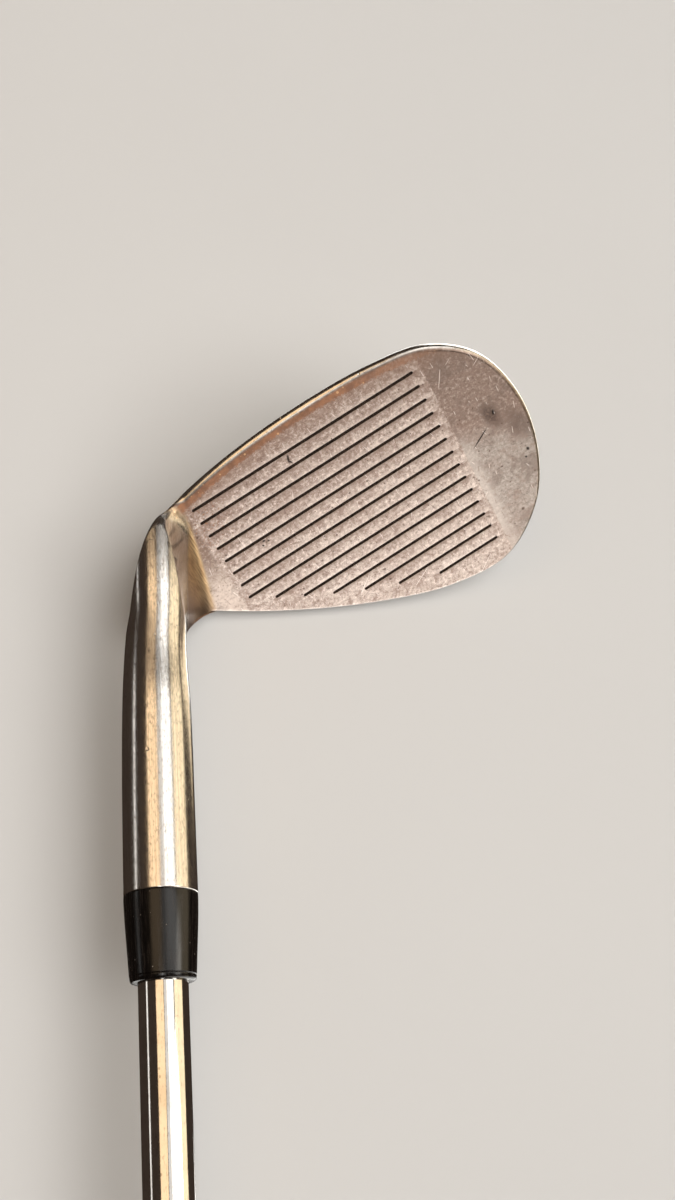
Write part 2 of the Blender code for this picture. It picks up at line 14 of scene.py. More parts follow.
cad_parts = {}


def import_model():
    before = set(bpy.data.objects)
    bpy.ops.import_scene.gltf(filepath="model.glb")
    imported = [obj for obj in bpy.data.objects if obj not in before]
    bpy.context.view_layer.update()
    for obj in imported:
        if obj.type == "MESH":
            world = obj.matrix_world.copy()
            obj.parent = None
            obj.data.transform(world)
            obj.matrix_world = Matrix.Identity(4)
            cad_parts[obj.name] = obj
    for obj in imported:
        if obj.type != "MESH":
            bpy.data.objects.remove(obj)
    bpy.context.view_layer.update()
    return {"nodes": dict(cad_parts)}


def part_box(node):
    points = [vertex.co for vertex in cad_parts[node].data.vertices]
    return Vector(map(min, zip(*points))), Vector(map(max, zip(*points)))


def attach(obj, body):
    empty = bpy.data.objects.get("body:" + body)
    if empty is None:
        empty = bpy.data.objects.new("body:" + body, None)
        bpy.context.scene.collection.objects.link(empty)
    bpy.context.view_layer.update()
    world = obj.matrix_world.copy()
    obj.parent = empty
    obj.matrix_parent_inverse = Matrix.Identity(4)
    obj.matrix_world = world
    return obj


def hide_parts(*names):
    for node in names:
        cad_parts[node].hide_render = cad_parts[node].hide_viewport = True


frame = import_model()

MM = 0.001

# --- the club's driving dimensions, as in the CAD ---
LOFT = math.radians(58.0)
LIE = math.radians(63.3)
FACE_PROGRESSION = 5.5 * MM
LEADING_EDGE_HEIGHT = 3.5 * MM

GROOVE_COUNT = 14
GROOVE_PITCH = 3.55 * MM
GROOVE_FIRST = 6.05 * MM
GROOVE_WIDTH = 0.66 * MM
GROOVE_DEPTH = 0.45 * MM
GROOVE_TOPLINE_MARGIN = 4.4 * MM
SCORE_LINE_HEEL = 6.6 * MM
SCORE_LINE_TOE = 59.6 * MM

# Distances along the shaft line, from the origin towards the grip.
HOSEL_TOP = 80 * MM
BORE_BOTTOM = 45 * MM
FERRULE_LENGTH = 16 * MM
SHAFT_TIP = 47 * MM
FIRST_STEP = 175 * MM
STEP_PITCH = 44.45 * MM
STEP_COUNT = 11
BAND_START = 582 * MM
BAND_LENGTH = 34 * MM
GRIP_MOUTH = 633 * MM
SHAFT_BUTT = 893 * MM
GRIP_END = 894.5 * MM
CLUB_END = 901 * MM

HOSEL_RADIUS = 6.93 * MM
BORE_RADIUS = 4.80 * MM
SHAFT_TIP_RADIUS = 4.51 * MM
SHAFT_LOW_RADIUS = 4.62 * MM
SHAFT_BUTT_RADIUS = 7.62 * MM
SHAFT_WALL = 0.5 * MM
GRIP_MOUTH_RADIUS = 8.9 * MM
GRIP_BUTT_RADIUS = 13.0 * MM
GRIP_FLARE = 2.4 * MM
GRIP_FLARE_LENGTH = 8 * MM
CAP_RADIUS = 15.2 * MM
VENT_RADIUS = 1.5 * MM
FIT_GAP = 0.05 * MM
FACE_GAP = 0.3 * MM
FILM = 0.12 * MM
SEAM = 0.03 * MM                       # what shows of a joint between two pieces

LYING_ROLL = math.radians(-27.5)
LYING_PITCH = math.radians(0.15)

# --- the head's shape, millimetres: x toeward, f up the face, rounding, then the wall behind ---
OUTLINE = (
    (7.0, 2.3, 1.6, 0.45, 5.2, 3.4),
    (20.0, 0.1, 1.6, 0.45, 5.2, 3.4),
    (36.0, -0.8, 1.6, 0.45, 5.2, 3.4),
    (52.0, -0.1, 1.5, 0.55, 5.0, 3.2),
    (64.5, 2.7, 1.4, 0.9, 4.2, 2.4),
    (73.4, 10.4, 1.3, 1.6, 3.2, 1.5),
    (77.6, 23.0, 1.1, 2.6, 2.6, 0.9),
    (76.8, 37.0, 1.0, 3.4, 2.2, 0.7),
    (71.0, 50.2, 0.9, 4.0, 2.0, 0.6),
    (60.0, 58.2, 0.8, 4.5, 1.8, 0.6),
    (46.0, 57.0, 0.8, 5.0, 1.6, 0.6),
    (30.0, 50.2, 0.8, 5.0, 1.6, 0.6),
    (14.0, 40.6, 0.8, 5.0, 1.6, 0.6),
    (0.0, 30.1, 0.8, 5.0, 1.6, 0.6),
)
HEEL_LOW_X = 7.0
HEEL_TOP_X = 0.0
TOE_CENTRE_X = 54.0
BLADE_THICKNESS = 5.6
MUSCLE_THICKNESS = 12.8
MUSCLE_EDGE = 27.0
MUSCLE_RISE = 0.04
MUSCLE_SPREAD = 1.45
CORNER_SOFTNESS = 0.9
EDGE_DEPTH = 0.9
HEEL_TAPER = 1.7                       # how far the neck's heel side draws in
HEEL_TAPER_AT = 27.0                   # at this distance up the shaft line, and less above it
HEEL_TAPER_LOWEST = 24.0               # where it stops growing on the way down
HEEL_TAPER_RUN = 13.5
TOE_DIP = 0.5                          # a shallow dip in the neck's toe side
TOE_DIP_AT = 32.0
TOE_DIP_RUN = 9.0
HANDLE_LIMIT = 0.4                     # a bend's longest handle, as a share of its span
NECK_HANDLES = (2.5, 12.0, 3.0)
BLADE_HANDLES = (5.5, 9.0, 3.2)
NECK_STARTS = ((15.0, 24.0), (35.0, 13.0), (50.0, 7.0), (70.0, 7.5), (95.0, 12.8), (120.0, 20.5),
               (150.0, 28.0), (180.0, 30.0), (250.0, 30.5), (322.0, 30.0), (350.0, 28.5))
BACK_TURNS = ((0.0, 50.0), (0.06, 95.0), (0.25, 165.0), (1.0, 322.0))

# Mesh density of the fine pieces.
BLADE_STATIONS = 64
TOE_STATIONS = 64
RIM_ROWS = 48
BEND_WEIGHT = 0.55                     # how strongly a section's rows gather where it turns
FACE_COLUMNS = 40
HEEL_RINGS = 40
NECK_RINGS = 24
TURNED_STEPS = 128
GRIP_COLUMNS = 120
GRIP_ROWS = 400

# --- the head's own frame: x toeward, y up the face, z out of the face ---
ALONG_SHAFT = np.array([-math.cos(LIE), math.sin(LIE) * math.cos(LOFT), math.sin(LIE) * math.sin(LOFT)])
NECK_TOE_SIDE = np.array([math.sin(LIE), math.cos(LIE) * math.cos(LOFT), math.cos(LIE) * math.sin(LOFT)])
NECK_FRONT = np.array([0.0, -math.sin(LOFT), math.cos(LOFT)])
SHAFT_ORIGIN = -np.array([
    0.0,
    LEADING_EDGE_HEIGHT * math.cos(LOFT) - FACE_PROGRESSION * math.sin(LOFT),
    LEADING_EDGE_HEIGHT * math.sin(LOFT) + FACE_PROGRESSION * math.cos(LOFT),
])


# --- placing ---
def shaft_line_matrix():
    """Local Z runs up the shaft line and local X towards the toe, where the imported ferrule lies."""
    level = Matrix(((1, 0, 0, 0), (0, 0, -1, 0), (0, 1, 0, 0), (0, 0, 0, 1)))
    tilt = (Matrix.Rotation(LYING_PITCH, 4, "X") @ Matrix.Rotation(LYING_ROLL, 4, "Y") @ level)
    low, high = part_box("ferrule")
    middle = Vector((0.0, 0.0, HOSEL_TOP + (FACE_GAP + FERRULE_LENGTH) / 2))
    return Matrix.Translation((low + high) / 2 - tilt @ middle) @ tilt


SHAFT_LINE = shaft_line_matrix()
OWN_FRAME = "own_frame"


def head_matrix():
    """Places the head's own frame, whose origin is on the leading edge."""
    to_shaft = Matrix.Identity(4)
    for row, axis in enumerate((NECK_TOE_SIDE, NECK_FRONT, ALONG_SHAFT)):
        to_shaft[row][:] = (*axis, -float(axis @ SHAFT_ORIGIN))
    return SHAFT_LINE @ to_shaft


def added(name, data):
    """A new object in the scene."""
    obj = bpy.data.objects.new(name, data)
    bpy.context.scene.collection.objects.link(obj)
    return obj


def remember_own_frame(mesh):
    """Keeps each vertex's place in the piece's own frame, in millimetres, for its material."""
    places = np.empty(len(mesh.vertices) * 3, np.float32)
    mesh.vertices.foreach_get("co", places)
    own = mesh.attributes.new(OWN_FRAME, "FLOAT_VECTOR", "POINT")
    own.data.foreach_set("vector", places / MM)


def place(name, mesh, matrix, finish, slot, *nodes):
    """Adds a fine piece that stands for CAD nodes and rides on the club's only body."""
    remember_own_frame(mesh)
    mesh.transform(matrix)
    if matrix.determinant() < 0:
        mesh.flip_normals()
    obj = added(name, mesh)
    mesh.materials.clear()
    mesh.materials.append(finish)
    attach(obj, "root")
    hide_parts(*nodes)
    return obj


def shade(mesh, angle=40.0):
    """Smooth shading, with sharp edges where faces meet at more than an angle in degrees."""
    mesh.shade_smooth()
    mesh.set_sharp_from_angle(angle=math.radians(angle))


# --- materials ---
class Finish:
    """One material, with short calls for the nodes that its pattern needs."""

    def __init__(self, name):
        self.material = bpy.data.materials.new(name)
        self.material.use_nodes = True
        self.tree = self.material.node_tree
        self.surface = self.tree.nodes["Principled BSDF"]

    def add(self, kind, inputs, **settings):
        node = self.tree.nodes.new(kind)
        for key, value in settings.items():
            setattr(node, key, value)
        for key, value in inputs.items():
            self.feed(node.inputs[key], value)
        return node

    def feed(self, socket, value):
        if isinstance(value, bpy.types.NodeSocket):
            self.tree.links.new(value, socket)
        elif socket.type == "RGBA":
            socket.default_value = (*value[:3], 1.0)
        else:
            socket.default_value = value

    def set(self, **values):
        """Feeds the surface shader; an underscore in a name stands for a space."""
        for name, value in values.items():
            self.feed(self.surface.inputs[name.replace("_", " ")], value)

    def place(self, own_frame=True):
        """Coordinates in millimetres, in the piece's own frame or in the club's."""
        if own_frame:
            return self.add("ShaderNodeAttribute", {}, attribute_name=OWN_FRAME).outputs["Vector"]
        here = self.add("ShaderNodeTexCoord", {}).outputs["Object"]
        return self.vector("SCALE", here, scale=1 / MM)

    def axes(self):
        """The place in the piece's own frame, whole and as its x, y and z."""
        here = self.place()
        return (here, *self.split(here)[:3])

    def vector(self, operation, a, b=(0.0, 0.0, 0.0), scale=1.0):
        node = self.add("ShaderNodeVectorMath", {0: a, 1: b, 3: scale}, operation=operation)
        return node.outputs["Value" if operation == "DOT_PRODUCT" else "Vector"]

    def split(self, vector):
        return self.add("ShaderNodeSeparateXYZ", {0: vector}).outputs

    def join(self, x, y, z):
        return self.add("ShaderNodeCombineXYZ", {0: x, 1: y, 2: z}).outputs[0]

    def math(self, operation, a, b=0.0, c=0.0):
        return self.add("ShaderNodeMath", {0: a, 1: b, 2: c}, operation=operation).outputs[0]

    def plus(self, a, *others):
        for other in others:
            a = self.math("ADD", a, other)
        return a

    def minus(self, a, b):
        return self.math("SUBTRACT", a, b)

    def times(self, a, *others):
        for other in others:
            a = self.math("MULTIPLY", a, other)
        return a

    def either(self, a, *others):
        for other in others:
            a = self.math("MAXIMUM", a, other)
        return a

    def fade(self, value, low, high, to_low=0.0, to_high=1.0):
        """A smooth rise from to_low to to_high as value goes from low to high."""
        node = self.add("ShaderNodeMapRange", {0: value, 1: low, 2: high, 3: to_low, 4: to_high},
                        interpolation_type="SMOOTHSTEP")
        return node.outputs[0]

    def blend(self, share, first, second):
        node = self.add("ShaderNodeMix", {0: share, 6: first, 7: second}, data_type="RGBA")
        return node.outputs[2]

    def painted(self, colour, *layers):
        """The colour with every (share, colour) layer laid over it in turn."""
        for share, tint in layers:
            colour = self.blend(share, colour, tint)
        return colour

    def level(self, share, first, second):
        """A number between first and second."""
        return self.add("ShaderNodeMix", {0: share, 2: first, 3: second}).outputs[0]

    def distance(self, u, v):
        """How far the point (u, v) is from (0, 0)."""
        return self.math("SQRT", self.plus(self.times(u, u), self.times(v, v)))

    def noise(self, at, scale, detail=4.0, roughness=0.55):
        return self.add("ShaderNodeTexNoise", {
            "Vector": at, "Scale": scale, "Detail": detail, "Roughness": roughness}).outputs[0]

    def lined(self, x, y, z, across, lengthwise, detail, roughness):
        """Noise with one scale across Z and another along it."""
        at = self.join(self.times(x, across), self.times(y, across), self.times(z, lengthwise))
        return self.noise(at, 1.0, detail, roughness)

    def stretched(self, at, size, turn=0.0, shift=(0.0, 0.0, 0.0)):
        """Coordinates turned about Z, and divided by a size along each axis."""
        return self.add("ShaderNodeMapping", {
            "Vector": at, "Location": shift, "Rotation": (0.0, 0.0, turn),
            "Scale": tuple(1.0 / s for s in size)}).outputs[0]

    def specks(self, at, cell, size, share):
        """Round specks, one to a cell, in a share of the cells."""
        node = self.add("ShaderNodeTexVoronoi", {"Vector": at, "Scale": 1.0 / cell})
        chance = self.split(node.outputs["Color"])
        present = self.math("LESS_THAN", chance[0], share)
        radius = self.math("MULTIPLY", chance[1], size / cell)
        return self.times(present, self.fade(self.minus(radius, node.outputs["Distance"]),
                                             0.0, 0.12))

    def scratches(self, at, cell, length, width, turn, spread, share):
        """Short straight scratches, one to a cell, in a share of the cells."""
        node = self.add("ShaderNodeTexVoronoi", {"Vector": at, "Scale": 1.0 / cell},
                        voronoi_dimensions="2D")
        chance = self.split(node.outputs["Color"])
        away = self.vector("SUBTRACT", at, node.outputs["Position"])
        angle = self.math("MULTIPLY_ADD", chance[0], 2 * spread, turn - spread)
        local = self.split(self.add("ShaderNodeVectorRotate", {"Vector": away, "Angle": angle},
                                    rotation_type="Z_AXIS").outputs[0])
        reach = self.times(chance[1], length / 2)
        along = self.fade(self.minus(reach, self.math("ABSOLUTE", local[0])), 0.0, length / 6)
        across = self.fade(self.math("ABSOLUTE", local[1]), width, width * 0.2)
        return self.times(along, across, self.math("LESS_THAN", chance[2], share))

    def spot(self, x, y, middle, radii, turn=0.0):
        """A soft oval patch in the X-Y plane: 1 in the middle, 0 at its edge."""
        cos, sin = math.cos(turn), math.sin(turn)
        dx, dy = self.minus(x, middle[0]), self.minus(y, middle[1])
        u = self.plus(self.times(dx, cos / radii[0]), self.times(dy, sin / radii[0]))
        v = self.plus(self.times(dx, -sin / radii[1]), self.times(dy, cos / radii[1]))
        return self.fade(self.distance(u, v), 1.0, 0.2)

    def relief(self, height, depth, before=None):
        """A bump whose height of 1 stands depth millimetres proud."""
        inputs = {"Height": height, "Strength": 1.0, "Distance": depth * MM}
        if before:
            inputs["Normal"] = before
        return self.add("ShaderNodeBump", inputs).outputs[0]


class HeadPattern:
    """The places, masks and noises that the head's colour, roughness and bumps share.

    Places are in millimetres in the head's frame.  Masks and noises run from 0 to 1."""

    def __init__(self, mat):
        here, self.x, self.f, self.out = mat.axes()
        self.here = here
        self.find_areas(mat)
        self.find_neck(mat)

        # Wear from sand and turf runs across the grooves.
        self.mottle = mat.noise(here, 0.42, 6.0, 0.62)
        self.fine = mat.noise(here, 1.3, 7.0, 0.8)
        self.wear = mat.noise(mat.stretched(here, (1.5, 2.6, 1.0), math.radians(-12)), 1.0, 6.0, 0.72)
        self.slope_lines = mat.noise(mat.stretched(here, (0.16, 5.0, 1.4), math.radians(-20)),
                                     1.0, 4.0, 0.65)
        self.pits = mat.specks(here, 1.5, 0.42, 0.12)
        across = math.radians(94)
        self.bright_lines = mat.either(mat.scratches(here, 2.6, 2.4, 0.06, across, 0.35, 0.3),
                                       mat.scratches(here, 6.5, 8.0, 0.08, 0.75, 0.5, 0.25))
        shifted = mat.stretched(here, (1, 1, 1), 0.0, (17.3, 5.1, 0.0))
        self.dark_lines = mat.scratches(shifted, 1.9, 2.6, 0.06, across + 0.3, 0.8, 0.45)
        self.marks = mat.times(self.single_marks(mat), self.on_face)
        self.find_rust(mat)

    def find_areas(self, mat):
        """The flat face, its blasted part between two ragged lines, and the smooth toe."""
        self.on_face = mat.times(mat.fade(self.out, -0.16, -0.02), mat.fade(self.out, 0.6, 0.1))
        wander = mat.minus(mat.noise(self.here, 0.5, 2.0), 0.5)
        self.edge_x = mat.plus(self.x, mat.times(wander, 0.5))
        self.blasted = mat.times(self.on_face, mat.fade(self.edge_x, 4.9, 5.5),
                                 mat.fade(self.edge_x, 61.7, 61.3))
        self.toe_area = mat.times(self.on_face, mat.fade(self.edge_x, 61.3, 61.7))

    def find_neck(self, mat):
        """The hosel, by its distances from the shaft line, and the slope from it to the face."""
        from_axis = mat.vector("SUBTRACT", self.here, tuple(SHAFT_ORIGIN / MM))
        along, side, front = (mat.vector("DOT_PRODUCT", from_axis, tuple(axis))
                              for axis in (ALONG_SHAFT, NECK_TOE_SIDE, NECK_FRONT))
        self.along = along
        self.neck = mat.times(mat.fade(mat.distance(side, front), 8.2, 6.6),
                              mat.fade(along, 3.0, 6.0))
        self.off_neck = mat.minus(1.0, self.neck)
        self.heel_slope = mat.times(mat.fade(self.x, 6.5, 3.5), mat.fade(self.out, -0.02, 0.25),
                                    self.off_neck)
        self.brushed = mat.lined(side, front, along, 5.0, 0.07, 4.0, 0.65)
        self.neck_grain = mat.lined(side, front, along, 2.2, 0.9, 5.0, 0.7)

    def single_marks(self, mat):
        """A gouge between two grooves, a cluster of pits, and scuffs near the toe."""
        middles_radii_turns = (
            ((28.8, 7.6), (0.34, 1.5), 0.25), ((28.9, 8.5), (0.26, 0.8), -0.6),
            ((15.7, 21.0), (0.5, 0.35), 0.0), ((16.6, 21.5), (0.3, 0.3), 0.0),
            ((15.1, 21.9), (0.28, 0.4), 0.0),
            ((70.8, 24.4), (0.9, 0.35), 1.9), ((66.0, 28.2), (3.2, 0.20), 2.6),
            ((74.2, 36.8), (0.45, 0.6), 0.0), ((73.1, 38.4), (0.3, 0.35), 0.0))
        return mat.either(*(mat.spot(self.x, self.f, *mark) for mark in middles_radii_turns))

    def find_rust(self, mat):
        """Rust in a band along the leading edge and at the heel ends of the low grooves."""
        centred = mat.minus(self.x, 36.0)
        edge_gap = mat.minus(self.f, mat.math("MULTIPLY_ADD", mat.times(centred, centred),
                                              0.0037, -0.8))
        rust_grain = mat.noise(self.here, 1.9, 6.0, 0.72)
        ragged = mat.plus(edge_gap, mat.times(mat.minus(rust_grain, 0.5), 3.2))
        band = mat.times(mat.fade(edge_gap, 0.3, 0.6), mat.fade(ragged, 2.7, 2.0),
                         mat.fade(self.x, 72.0, 44.0, 0.15, 1.0))
        by_heel = mat.times(mat.spot(self.x, self.f, (8.0, 10.0), (7.5, 11.0)),
                            mat.fade(rust_grain, 0.53, 0.62))
        self.rust = mat.times(mat.either(band, by_heel), self.on_face)
        self.stain = mat.times(mat.fade(edge_gap, 7.0, 1.0), self.on_face)
        self.rust_specks = mat.times(band, mat.specks(self.here, 0.8, 0.35, 0.3))


def between_grooves(mat, at):
    """Masks of each land's two sides: painted shade past one groove, and a painted highlight where it
    meets the next.
    """
    pitch = GROOVE_PITCH / MM
    past_groove = mat.math("FLOORED_MODULO", mat.minus(at.f, GROOVE_FIRST / MM), pitch)
    slanted = [(up_face / MM, heel / MM) for up_face, heel, _ in groove_lines()
               if heel > SCORE_LINE_HEEL + GROOVE_WIDTH]
    bend, lean, start = np.polyfit(*zip(*slanted), 2)
    heel_end = mat.math("MULTIPLY_ADD", at.f, mat.math("MULTIPLY_ADD", at.f, bend, lean), start)
    heel_end = mat.either(mat.times(heel_end, mat.fade(at.f, 20.0, 26.0)), SCORE_LINE_HEEL / MM)
    lands = mat.times(mat.fade(mat.minus(at.edge_x, heel_end), -0.9, 0.9),
                      mat.fade(at.edge_x, 61.5, 60.0),
                      mat.fade(at.f, 54.6, 52.4), mat.fade(at.f, 3.6, 4.6))
    return (mat.times(mat.fade(past_groove, 1.7, 0.3), lands),
            mat.times(mat.fade(past_groove, 1.9, pitch - 0.3), lands))


def satin_colour(mat, at):
    """The smooth parts of the face: brown up by the toe, greyer where it is worn, and smudged."""
    x, f = at.x, at.f
    worn = mat.fade(mat.plus(f, mat.times(x, -0.35), mat.times(at.mottle, 9.0)), 4.0, 13.0)
    clouds = mat.noise(at.here, 0.16, 6.0, 0.68)
    toe_smudge = mat.either(mat.spot(x, f, (70.2, 25.0), (5.2, 2.6), 1.3),
                            mat.times(mat.spot(x, f, (75.0, 30.5), (3.4, 6.5), -0.2), 0.75))
    polished_edge = mat.times(mat.fade(at.edge_x, 65.5, 61.5), mat.fade(x, 58.0, 61.0),
                              mat.fade(f, 22.0, 34.0), 0.38)
    return mat.painted(
        mat.blend(worn, (0.27, 0.205, 0.172), (0.37, 0.335, 0.305)),
        (mat.times(mat.fade(x, 12.0, 4.0), mat.fade(f, 12.0, 27.0)), (0.66, 0.58, 0.52)),
        (mat.times(mat.fade(x, 9.0, 4.0), mat.fade(f, 30.0, 14.0)), (0.22, 0.155, 0.125)),
        (mat.fade(at.fine, 0.50, 0.62, 0.0, 0.55), (0.62, 0.56, 0.52)),
        (mat.fade(at.fine, 0.48, 0.37, 0.0, 0.65), (0.13, 0.10, 0.086)),
        (mat.fade(clouds, 0.49, 0.60, 0.0, 0.55), (0.19, 0.15, 0.13)),
        (mat.times(toe_smudge, mat.fade(at.fine, 0.36, 0.52)), (0.10, 0.075, 0.064)),
        (mat.fade(at.wear, 0.50, 0.66, 0.0, 0.4), (0.26, 0.195, 0.165)),
        (polished_edge, (0.82, 0.76, 0.71)),
        (mat.fade(at.mottle, 0.54, 0.66, 0.0, 0.5), (0.30, 0.235, 0.20)))


def blasted_colour(mat, at):
    """The hitting area: rough grain with wear in two directions, a painted light gradient brighter
    towards the top line and the toe, and painted shade and highlight land by land.
    """
    # Painted light: the colour grows brighter up the face and towards the toe, on top of the wear noise.
    painted_light_gradient = mat.fade(mat.plus(at.f, mat.times(at.x, 0.35)), 10.0, 60.0, -0.07, 0.06)
    wear_and_painted_light = mat.fade(mat.plus(at.wear, painted_light_gradient), 0.34, 0.64)
    cross_wear = mat.noise(mat.stretched(at.here, (0.9, 2.2, 1.0), math.radians(24),
                                         (31.0, 7.0, 0.0)), 1.0, 6.0, 0.75)
    painted_shade_side, painted_highlight_side = between_grooves(mat, at)
    return mat.painted(
        mat.blend(wear_and_painted_light, (0.37, 0.285, 0.245), (0.62, 0.54, 0.49)),
        (mat.fade(cross_wear, 0.50, 0.62, 0.0, 0.55), (0.30, 0.22, 0.19)),
        (mat.fade(at.fine, 0.50, 0.62, 0.0, 0.75), (0.93, 0.84, 0.79)),
        (mat.fade(at.fine, 0.48, 0.36, 0.0, 0.75), (0.155, 0.11, 0.09)),
        (mat.fade(at.mottle, 0.53, 0.64, 0.0, 0.50), (0.27, 0.195, 0.165)),
        # Painted shade on each land just past a groove, and a painted highlight where it meets the next
        # groove.
        (mat.times(painted_shade_side, 0.55), (0.235, 0.168, 0.138)),
        (mat.times(painted_highlight_side, 0.36), (1.0, 0.91, 0.86)))


def head_colour(mat, at):
    """Both kinds of face, then the slope with its painted reflection and shade, scratches, rust and
    marks, the rim and the neck.
    """
    patches = mat.noise(at.here, 0.09, 4.0, 0.6)
    small_pits = mat.specks(at.here, 0.7, 0.24, 0.16)
    # The heel slope: brushed streaks with a painted gold reflection on them, and painted shade that
    # darkens it further up the shaft line towards the neck.
    slope_streaks_and_painted_light = mat.painted(
        mat.blend(mat.fade(at.slope_lines, 0.36, 0.62), (0.50, 0.33, 0.21), (0.98, 0.78, 0.50)),
        (mat.fade(at.along, 11.0, 21.0), (0.36, 0.27, 0.23)))
    mottled = mat.fade(at.mottle, 0.35, 0.65)
    rust_tint = mat.blend(mottled, (0.25, 0.12, 0.07), (0.42, 0.20, 0.105))
    rim_tint = mat.blend(mottled, (0.72, 0.67, 0.62), (0.93, 0.90, 0.86))
    neck_tint = mat.painted(
        mat.blend(mat.fade(at.brushed, 0.35, 0.65), (0.78, 0.73, 0.67), (0.97, 0.95, 0.92)),
        (mat.fade(at.neck_grain, 0.52, 0.66, 0.0, 0.55), (0.50, 0.43, 0.38)))
    return mat.painted(
        mat.blend(at.blasted, satin_colour(mat, at), blasted_colour(mat, at)),
        (mat.fade(patches, 0.42, 0.70, 0.0, 0.3), (0.30, 0.215, 0.18)),
        (at.heel_slope, slope_streaks_and_painted_light),
        (mat.times(at.dark_lines, at.on_face, 0.8), (0.16, 0.11, 0.09)),
        (mat.times(at.bright_lines, at.on_face, 0.9), (0.98, 0.92, 0.88)),
        (mat.times(mat.either(at.pits, small_pits), at.on_face, 0.75), (0.12, 0.08, 0.065)),
        (mat.times(at.stain, 0.6), (0.27, 0.175, 0.13)),
        (mat.times(at.rust, 0.9), rust_tint),
        (mat.times(at.rust_specks, 0.7), (0.80, 0.52, 0.28)),
        (at.marks, (0.022, 0.014, 0.012)),
        (mat.times(mat.fade(at.out, -0.1, -0.4), at.off_neck), rim_tint),
        (at.neck, neck_tint))


def head_roughness(mat, at):
    """Rougher where it is blasted, rusty or marked, and polished on the rim and the neck."""
    grain = mat.noise(at.here, 2.3, 3.0, 0.6)
    polish_lines = mat.noise(mat.stretched(at.here, (6.0, 0.14, 1.0), math.radians(-38)),
                             1.0, 3.0, 0.6)
    rough = mat.fade(polish_lines, 0.3, 0.7, 0.30, 0.42)
    for share, value in (
            (at.blasted, mat.fade(grain, 0.3, 0.7, 0.38, 0.52)),
            (at.heel_slope, mat.fade(at.slope_lines, 0.3, 0.7, 0.30, 0.44)),
            (mat.times(at.bright_lines, 0.5), 0.22),
            (mat.either(at.rust, at.marks), 0.75),
            (mat.fade(at.out, -0.1, -0.5), mat.fade(at.mottle, 0.3, 0.7, 0.17, 0.26)),
            (at.neck, mat.fade(at.neck_grain, 0.35, 0.65, 0.12, 0.24))):
        rough = mat.level(share, rough, value)
    return rough


def head_relief(mat, at):
    """Bumps of the blasting, scratches, pits, rust and slope, then the fainter ones of the neck."""
    blasting = mat.plus(mat.times(at.fine, 1.5), mat.times(at.wear, 0.5))
    height = mat.plus(
        mat.times(mat.either(at.blasted, mat.times(at.toe_area, 0.5)), blasting, 0.7),
        mat.times(at.bright_lines, at.on_face, -0.4),
        mat.times(at.dark_lines, at.blasted, -0.5),
        mat.times(at.pits, -1.5),
        mat.times(at.marks, -5.0),
        mat.times(at.rust, mat.noise(at.here, 3.2, 5.0), 1.6),
        mat.times(at.heel_slope, at.slope_lines, 0.8))
    neck_height = mat.plus(
        mat.times(at.brushed, 0.3), mat.times(at.neck_grain, 0.9),
        mat.times(mat.specks(at.here, 2.4, 0.5, 0.25), -0.5), mat.noise(at.here, 0.35, 3.0))
    return mat.relief(mat.times(neck_height, at.neck), 0.007, mat.relief(height, 0.022))


def head_steel():
    """Nickel-plated soft steel: a blasted hitting area, worn satin round it, a polished rim and neck."""
    mat = Finish("worn_nickel_steel")
    at = HeadPattern(mat)
    metal = mat.level(mat.either(at.rust, at.marks), 1.0, 0.35)
    mat.set(Base_Color=head_colour(mat, at), Roughness=head_roughness(mat, at), Metallic=metal,
            Normal=head_relief(mat, at))
    return mat.material


def groove_dirt():
    """Soil and oxide packed in the grooves."""
    mat = Finish("groove_dirt")
    here = mat.place()
    crumbs = mat.noise(here, 2.6, 5.0, 0.7)
    colour = mat.blend(mat.fade(crumbs, 0.4, 0.66), (0.010, 0.006, 0.004), (0.055, 0.032, 0.022))
    mat.set(Base_Color=colour, Roughness=mat.fade(crumbs, 0.3, 0.7, 0.95, 0.7),
            Normal=mat.relief(crumbs, 0.10))
    return mat.material


def shaft_chrome():
    """Bright chrome plate over drawn steel, with faint lengthwise lines and a few rub marks."""
    mat = Finish("shaft_chrome")
    here, x, y, z = mat.axes()
    lines = mat.lined(x, y, z, 4.0, 0.05, 4.0, 0.6)
    grain = mat.lined(x, y, z, 2.5, 0.6, 5.0, 0.7)
    haze = mat.noise(here, 0.12, 5.0, 0.6)
    dust = mat.specks(mat.stretched(here, (1, 1, 1.6)), 1.6, 0.3, 0.22)
    colour = mat.painted(
        mat.blend(mat.fade(haze, 0.35, 0.7), (0.93, 0.90, 0.86), (0.78, 0.73, 0.67)),
        (mat.fade(grain, 0.54, 0.68, 0.0, 0.5), (0.52, 0.46, 0.41)),
        (mat.times(dust, 0.6), (0.35, 0.30, 0.26)))
    rough = mat.plus(mat.fade(lines, 0.3, 0.7, 0.055, 0.10), mat.fade(haze, 0.45, 0.75, 0.0, 0.06))
    normal = mat.relief(mat.plus(lines, mat.times(grain, 1.5)), 0.0022)
    mat.set(Base_Color=colour, Metallic=1.0, Roughness=rough, Normal=normal)
    return mat.material


